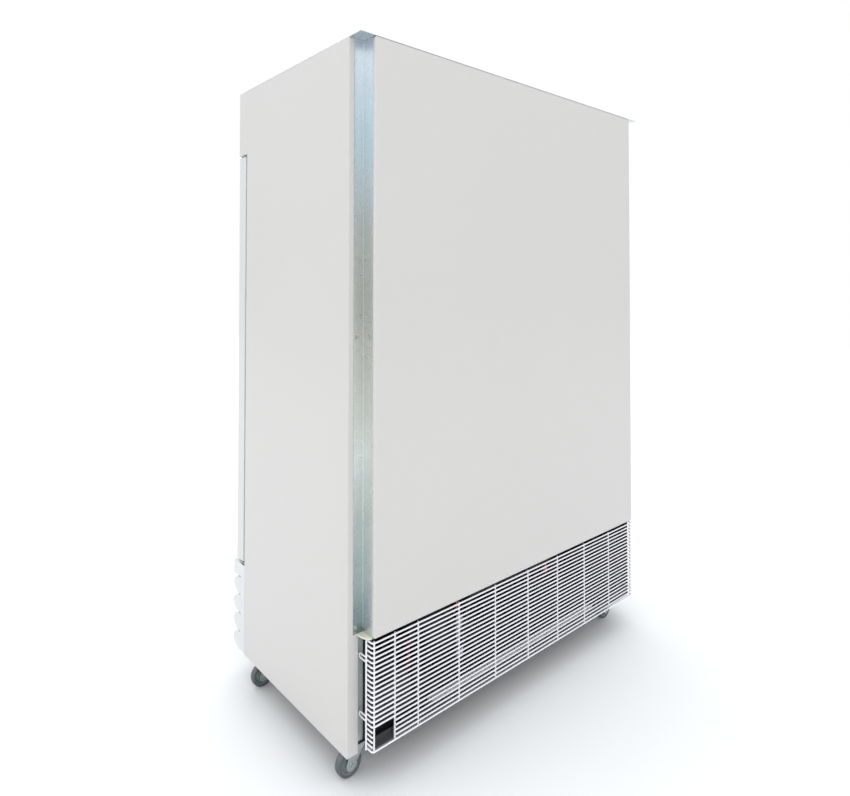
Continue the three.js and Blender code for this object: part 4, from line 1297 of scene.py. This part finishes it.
    def shade_boards(self):
        """Black board on both sides of the fan cowl and over it: painted shade, a dark sheet that shows the
        dark of the bay behind the guard.
        """
        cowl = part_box("condenser_shroud")
        y = cowl[HIGH].y - 0.020
        bottom, top = cowl[LOW].z - 0.006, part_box("case_pan")[LOW].z - 0.001
        wall = HALF - 0.0585
        bm = bmesh.new()
        board = 0.003
        left, right = cowl[LOW].x - 0.001, cowl[HIGH].x + 0.016
        for x0, x1, z in ((-wall, left, bottom), (right, wall, bottom), (left, right, cowl[HIGH].z + 0.001)):
            block(bm, (x0, y - board, z), (x1, y, top), 0.0008)
        piece("painted_shade_board", bm, black_enamel_and_painted_shade)

    def tray(self):
        pan_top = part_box("compressor")[LOW].z
        bm = bmesh.new()
        low, high = spot(-0.38, 0.350, pan_top), spot(0.41, 0.3715, pan_top + 0.034)
        floor = 0.002
        block(bm, low, (high.x, high.y, low.z + floor), 0.0006)
        block(bm, (low.x, high.y - floor, low.z), high, 0.0006)
        block(bm, (low.x, low.y, low.z), (high.x, low.y + floor, high.z), 0.0006)
        block(bm, (low.x, low.y, low.z), (low.x + floor, high.y, high.z), 0.0006)
        block(bm, (high.x - floor, low.y, low.z), high, 0.0006)
        block(bm, (low.x, high.y - 0.0065, high.z - floor), (high.x, high.y, high.z), 0.0006)
        piece("condensate_tray", bm, pale_plastic)


# ---- Front grille ----


class FRIDGE_OT_grille(bpy.types.Operator):
    """Makes the louvred grille under the doors"""

    bl_idname = "fridge.grille"
    bl_label = "Front grille"

    def execute(self, context):
        low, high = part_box("front_grille")
        front, sheet, depth = low.y, 0.002, 0.050
        notch = front + depth
        strip = high.z - 0.045
        pitch = (strip - SKIRT) / 4
        rise = (pitch - 0.005) / 2
        bm = bmesh.new()
        for i in range(4):
            self.louvre(bm, low.x, high.x, notch, strip - pitch * (i + 0.5), rise, depth, sheet)
        block(bm, (low.x, front, strip), (high.x, front + sheet, high.z), 0.0008)
        block(bm, (low.x, front, high.z - sheet), (high.x, notch, high.z), 0.0008)
        block(bm, (low.x, front, strip), (high.x, front + 0.012, strip + sheet), 0.0008)
        for x in (low.x + 0.0005, high.x - 0.0005 - sheet):
            block(bm, (x, front + 0.0005, strip + 0.001), (x + sheet, notch, high.z - 0.0005), 0.0005)
            end = (x + sheet, CASE_FRONT - 0.004, high.z - 0.0005)
            block(bm, (x, notch - 0.001, SKIRT + 0.002), end, 0.0005)
            for i in range(4):
                self.cheek(bm, x, sheet, notch, strip - pitch * (i + 0.5), rise, depth)
        for x in (-HALF / 3, HALF / 3):
            end = (x + 0.0015, notch + 0.002, high.z - 0.002)
            block(bm, (x - 0.0015, notch - 0.006, SKIRT + 0.004), end, 0.0004)
        piece("louvred_grille", bm, grille_coat, "front_grille")
        return {"FINISHED"}

    def stretched(self, bm, verts, notch, times):
        """Stretches a half round forward, away from the line it starts on."""
        there, back = Matrix.Translation((0, notch, 0)), Matrix.Translation((0, -notch, 0))
        bmesh.ops.transform(bm, matrix=there @ Matrix.Diagonal((1, times, 1, 1)) @ back, verts=verts)

    def louvre(self, bm, x0, x1, notch, middle, rise, depth, sheet):
        """One bowed louvre: a half round edge, stretched forward, then given its thickness."""
        start = bm.verts.new((x0, notch, middle + rise))
        end = bm.verts.new((x1, notch, middle + rise))
        edge = bm.edges.new((start, end))
        before = set(bm.faces)
        bmesh.ops.spin(
            bm, geom=[start, end, edge], cent=(0, notch, middle), axis=(1, 0, 0),
            angle=math.pi, steps=22, dvec=(0, 0, 0),
        )
        made = [f for f in bm.faces if f not in before]
        verts = list({v for f in made for v in f.verts})
        self.stretched(bm, verts, notch, depth / rise)
        thickened(bm, made, sheet, (0, notch + 0.02, middle))

    def cheek(self, bm, x, sheet, notch, middle, rise, depth):
        """The flat end of one louvre."""
        inset = sheet / 2
        place = facing(spot(1, 0, 0), spot(x, notch, middle))
        radius = rise - inset
        disc = bmesh.ops.create_circle(bm, cap_ends=True, radius=radius, segments=40, matrix=place)["verts"]
        face = next(iter(disc[0].link_faces))
        self.stretched(bm, disc, notch, (depth - inset) / radius)
        half = [face] + list(face.edges) + list(face.verts)
        cut = bmesh.ops.bisect_plane(
            bm, geom=half, plane_co=(0, notch, 0), plane_no=(0, 1, 0), clear_outer=True
        )["geom"]
        drawn_out(bm, faces_of(cut), Vector((sheet, 0, 0)))


# ---- Rear guard ----


class FRIDGE_OT_guard(bpy.types.Operator):
    """Makes the wire guard over the rear of the machine bay"""

    bl_idname = "fridge.guard"
    bl_label = "Rear guard"

    PITCH = 0.0127
    HATCH_COLUMN = 0.553
    HATCH_ROWS = range(1, 5)
    HOOKS = (0.190, 0.343)
    CORNER_BEND = 0.007

    def execute(self, context):
        settings = context.scene.fridge_guard
        low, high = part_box("rear_guard")
        radius = settings.wire_radius
        side = high.x - 0.0062
        rear = BACK - 0.0005 - radius
        end = low.y + 0.030 + radius
        bottom = low.z + 0.0022
        rows = 1 + round((high.z - low.z - 0.0044) / self.PITCH)
        top = bottom + (rows - 1) * self.PITCH
        bm = bmesh.new()
        for row in range(rows):
            z = bottom + row * self.PITCH
            if row in self.HATCH_ROWS:
                stop = self.HATCH_COLUMN + 0.002
                wire(bm, [(-side, end, z), (-side, rear, z), (stop, rear, z)], radius, self.CORNER_BEND)
                wire(bm, [(side, end, z), (side, rear - 0.001, z)], radius)
            else:
                corners = [(-side, end, z), (-side, rear, z), (side, rear, z), (side, end, z)]
                wire(bm, corners, radius, self.CORNER_BEND)
        inner = rear - radius * 1.75
        pitch = settings.column_pitch
        z0, z1 = bottom - radius, top + radius
        for x in [pitch * i for i in range(-3, 4)] + [self.HATCH_COLUMN]:
            wire(bm, [(x, inner, z0), (x, inner, z1)], radius * 1.08)
        for sign in SIDES.values():
            x = sign * (side + radius * 1.75)
            last = sign * (side - 0.0075)
            wire(bm, [(last, inner, z0), (last, inner, z1)], radius)
            wire(bm, [(x, end + 0.001, z0), (x, end + 0.001, z1)], radius)
            for z in self.HOOKS:
                tip = low.y + 0.0022
                hook = [(x, end, z + 0.006), (x, tip, z + 0.006), (x, tip, z - 0.006), (x, end, z - 0.006)]
                wire(bm, hook, radius * 0.95, 0.0055)
        piece("wire_guard", bm, guard_coat, "rear_guard", "guard")
        return {"FINISHED"}


# ---- Casters ----


class FRIDGE_OT_casters(bpy.types.Operator):
    """Makes the swivel casters: plate bolts, bearing, fork, wheel and axle"""

    bl_idname = "fridge.casters"
    bl_label = "Casters"

    TRAIL = 0.028
    FORK_OUTER = 0.0175
    FORK_INNER = 0.0152
    CROWN = 0.0268
    EAR = 0.0168

    def execute(self, context):
        for corner in CORNERS:
            wheel_low, wheel_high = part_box(f"caster_wheel_{corner}")
            hub = (wheel_low + wheel_high) / 2
            swivel = spot(hub.x - self.TRAIL, hub.y, 0)
            self.fork(corner, hub, swivel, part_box(f"caster_fork_{corner}")[HIGH].z)
            self.wheel(corner, hub, (wheel_high.z - wheel_low.z) / 2)
            self.plate(corner, swivel)
        return {"FINISHED"}

    def fork(self, corner, hub, swivel, top):
        bm = bmesh.new()
        for y0, y1 in ((-self.FORK_OUTER, -self.FORK_INNER), (self.FORK_INNER, self.FORK_OUTER)):
            self.cheek(bm, hub, swivel, y0, y1)
        start = swivel + spot(-self.CROWN, -self.FORK_OUTER, 0.0895)
        block(bm, start, swivel + spot(self.CROWN, self.FORK_OUTER, 0.0922), 0.002, 3)
        cup = [(0, 0.0915), (0.020, 0.0915), (0.0255, 0.0935), (self.CROWN, 0.0965)]
        cup += [(0.0262, 0.0995), (0.022, 0.1000), (0, 0.1000)]
        turned(bm, cup, swivel, (0, 0, 1), 40)
        turned(bm, [(0, 0.0995), (0.0098, 0.0995), (0.0098, top), (0, top)], swivel, (0, 0, 1), 24)
        piece(f"fork_{corner}", bm, zinc_plate, f"caster_fork_{corner}", f"fork_{corner}")
        bm = bmesh.new()
        for sign in (-1, 1):
            seat = spot(hub.x, hub.y + sign * 0.0174, hub.z)
            hex_screw(bm, seat, (0, sign, 0), 0.0072)
        bar(bm, spot(hub.x, hub.y - 0.0185, hub.z), spot(hub.x, hub.y + 0.0185, hub.z), 0.0038, 16)
        piece(f"axle_{corner}", bm, zinc_plate, body=f"fork_{corner}")

    def cheek(self, bm, hub, swivel, y0, y1):
        """One side of the fork: a plate that narrows from the crown down to the axle."""
        place = facing(spot(0, 1, 0), hub + spot(0, y0, 0))
        disc = bmesh.ops.create_circle(bm, cap_ends=True, radius=self.EAR, segments=28, matrix=place)["verts"]
        for vert in disc:
            if vert.co.z > hub.z + 0.005:
                across = (vert.co.x - hub.x) / self.EAR
                vert.co.x = swivel.x + across * self.CROWN
                vert.co.z = 0.0905
        bmesh.ops.remove_doubles(bm, verts=disc, dist=1e-5)
        level = hub.y + y0
        face = next(f for f in bm.faces if all(abs(v.co.y - level) < 1e-6 for v in f.verts))
        end = drawn_out(bm, [face], Vector((0, y1 - y0, 0)))
        rounded(bm, list({e for f in faces_of(end) for e in f.edges}), 0.0006)

    def wheel(self, corner, hub, radius):
        bm = bmesh.new()
        rim = radius - 0.0085
        tread = [(rim, -0.0112), (radius - 0.0030, -0.0112), (radius - 0.0008, -0.0088), (radius, -0.0050)]
        tread += [(radius, 0.0050), (radius - 0.0008, 0.0088), (radius - 0.0030, 0.0112), (rim, 0.0112)]
        tread.append(tread[0])
        turned(bm, tread, hub, (0, 1, 0), 48)
        piece(f"tread_{corner}", bm, tread_rubber, f"caster_wheel_{corner}", f"wheel_{corner}")
        bm = bmesh.new()
        half = [(0.0046, 0.0128), (0.0120, 0.0128), (0.0132, 0.0092)]
        half += [(rim - 0.006, 0.0062), (rim - 0.003, 0.0100), (rim, 0.0104)]
        body = [(r, -y) for r, y in half] + half[::-1]
        body.append(body[0])
        turned(bm, body, hub, (0, 1, 0), 40)
        piece(f"hub_{corner}", bm, hub_plastic, body=f"wheel_{corner}")

    def plate(self, corner, swivel):
        """Bolts that hold the caster to its pad under the base pan."""
        bm = bmesh.new()
        for dx in (-0.036, 0.036):
            for dy in (-0.025, 0.025):
                hex_screw(bm, swivel + spot(dx, dy, 0.1040), (0, 0, -1), 0.0058)
        piece(f"pad_bolts_{corner}", bm, zinc_plate)


# ---- Stage ----


class FRIDGE_OT_stage(bpy.types.Operator):
    """Makes the pale floor, the soft light and the camera"""

    bl_idname = "fridge.stage"
    bl_label = "Stage"

    def execute(self, context):
        settings = context.scene.fridge_stage
        self.floor()
        self.sky(context, settings)
        self.lamps(context, settings)
        self.camera(context)
        context.scene.view_settings.view_transform = "Standard"
        return {"FINISHED"}

    def floor(self):
        bm = bmesh.new()
        bmesh.ops.create_grid(bm, x_segments=8, y_segments=8, size=14)
        placed("studio_floor", bm, floor_paint())

    def sky(self, context, settings):
        """An even white surround, cooler overhead."""
        world = bpy.data.worlds.new("studio_surround")
        world.use_nodes = True
        tree = world.node_tree
        place = tree.nodes.new("ShaderNodeTexCoord").outputs["Generated"]
        split = tree.nodes.new("ShaderNodeSeparateXYZ")
        tree.links.new(place, split.inputs[0])
        ramp = tree.nodes.new("ShaderNodeValToRGB")
        tree.links.new(split.outputs["Z"], ramp.inputs[0])
        ramp.color_ramp.elements[0].position = 0.0
        ramp.color_ramp.elements[0].color = (0.62, 0.61, 0.60, 1)
        ramp.color_ramp.elements[1].position = 0.9
        ramp.color_ramp.elements[1].color = (1.36, 1.39, 1.42, 1)
        middle = ramp.color_ramp.elements.new(0.25)
        middle.color = (0.86, 0.90, 0.94, 1)
        back = tree.nodes["Background"]
        tree.links.new(ramp.outputs[0], back.inputs["Color"])
        back.inputs["Strength"].default_value = settings.sky_strength
        seen = tree.nodes.new("ShaderNodeBackground")
        seen.inputs["Color"].default_value = (1, 1, 1, 1)
        mix = tree.nodes.new("ShaderNodeMixShader")
        tree.links.new(tree.nodes.new("ShaderNodeLightPath").outputs["Is Camera Ray"], mix.inputs[0])
        tree.links.new(back.outputs[0], mix.inputs[1])
        tree.links.new(seen.outputs[0], mix.inputs[2])
        tree.links.new(mix.outputs[0], tree.nodes["World Output"].inputs["Surface"])
        context.scene.world = world

    def lamps(self, context, settings):
        for name, place, size, share in (
            ("rear_softbox", (3.2, 4.6, 3.4), 3.0, 1.0),
            ("side_softbox", (4.6, -1.6, 2.6), 2.6, 0.6),
            ("front_softbox", (-2.6, -4.6, 3.0), 2.6, 0.8),
        ):
            light = bpy.data.lights.new(name, "AREA")
            light.shape = "SQUARE"
            light.size = size
            light.energy = settings.key_power * share
            lamp = bpy.data.objects.new(name, light)
            lamp.location = place
            lamp.rotation_euler = (spot(0, 0, 1) - Vector(place)).to_track_quat("-Z", "Y").to_euler()
            context.scene.collection.objects.link(lamp)

    def camera(self, context):
        data = bpy.data.cameras.new("camera")
        data.sensor_width = 36
        data.lens = 26.197
        data.shift_x, data.shift_y = -0.0097, -0.1463
        camera = bpy.data.objects.new("camera", data)
        camera.location = (1.5943, 1.7142, 1.3222)
        ahead = Vector((-0.6630, -0.7483, 0.0219))
        camera.rotation_euler = ahead.to_track_quat("-Z", "Y").to_euler()
        context.scene.collection.objects.link(camera)
        context.scene.camera = camera


class FRIDGE_PT_panel(bpy.types.Panel):
    """Lists the makers and their settings in the 3D view's sidebar"""

    bl_idname = "FRIDGE_PT_panel"
    bl_label = "Refrigerator"
    bl_space_type = "VIEW_3D"
    bl_region_type = "UI"
    bl_category = "Refrigerator"

    def draw(self, context):
        for name, group in SETTINGS.items():
            column = self.layout.column(align=True)
            for key in group.__annotations__:
                column.prop(getattr(context.scene, name), key)
        for operator in OPERATORS:
            self.layout.operator(operator.bl_idname)


SETTINGS = {
    "fridge_case": CaseSettings,
    "fridge_doors": DoorSettings,
    "fridge_interior": InteriorSettings,
    "fridge_guard": GuardSettings,
    "fridge_stage": StageSettings,
}
OPERATORS = (
    FRIDGE_OT_case,
    FRIDGE_OT_header,
    FRIDGE_OT_doors,
    FRIDGE_OT_interior,
    FRIDGE_OT_machinery,
    FRIDGE_OT_grille,
    FRIDGE_OT_guard,
    FRIDGE_OT_casters,
    FRIDGE_OT_stage,
)
CLASSES = (*SETTINGS.values(), *OPERATORS, FRIDGE_PT_panel)


def register():
    for cls in CLASSES:
        bpy.utils.register_class(cls)
    for name, group in SETTINGS.items():
        setattr(bpy.types.Scene, name, PointerProperty(type=group))


def unregister():
    for name in SETTINGS:
        delattr(bpy.types.Scene, name)
    for cls in reversed(CLASSES):
        bpy.utils.unregister_class(cls)


def main():
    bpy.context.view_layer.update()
    register()
    for operator in OPERATORS:
        group, call = operator.bl_idname.split(".")
        getattr(getattr(bpy.ops, group), call)()


if __name__ == "__main__":
    main()
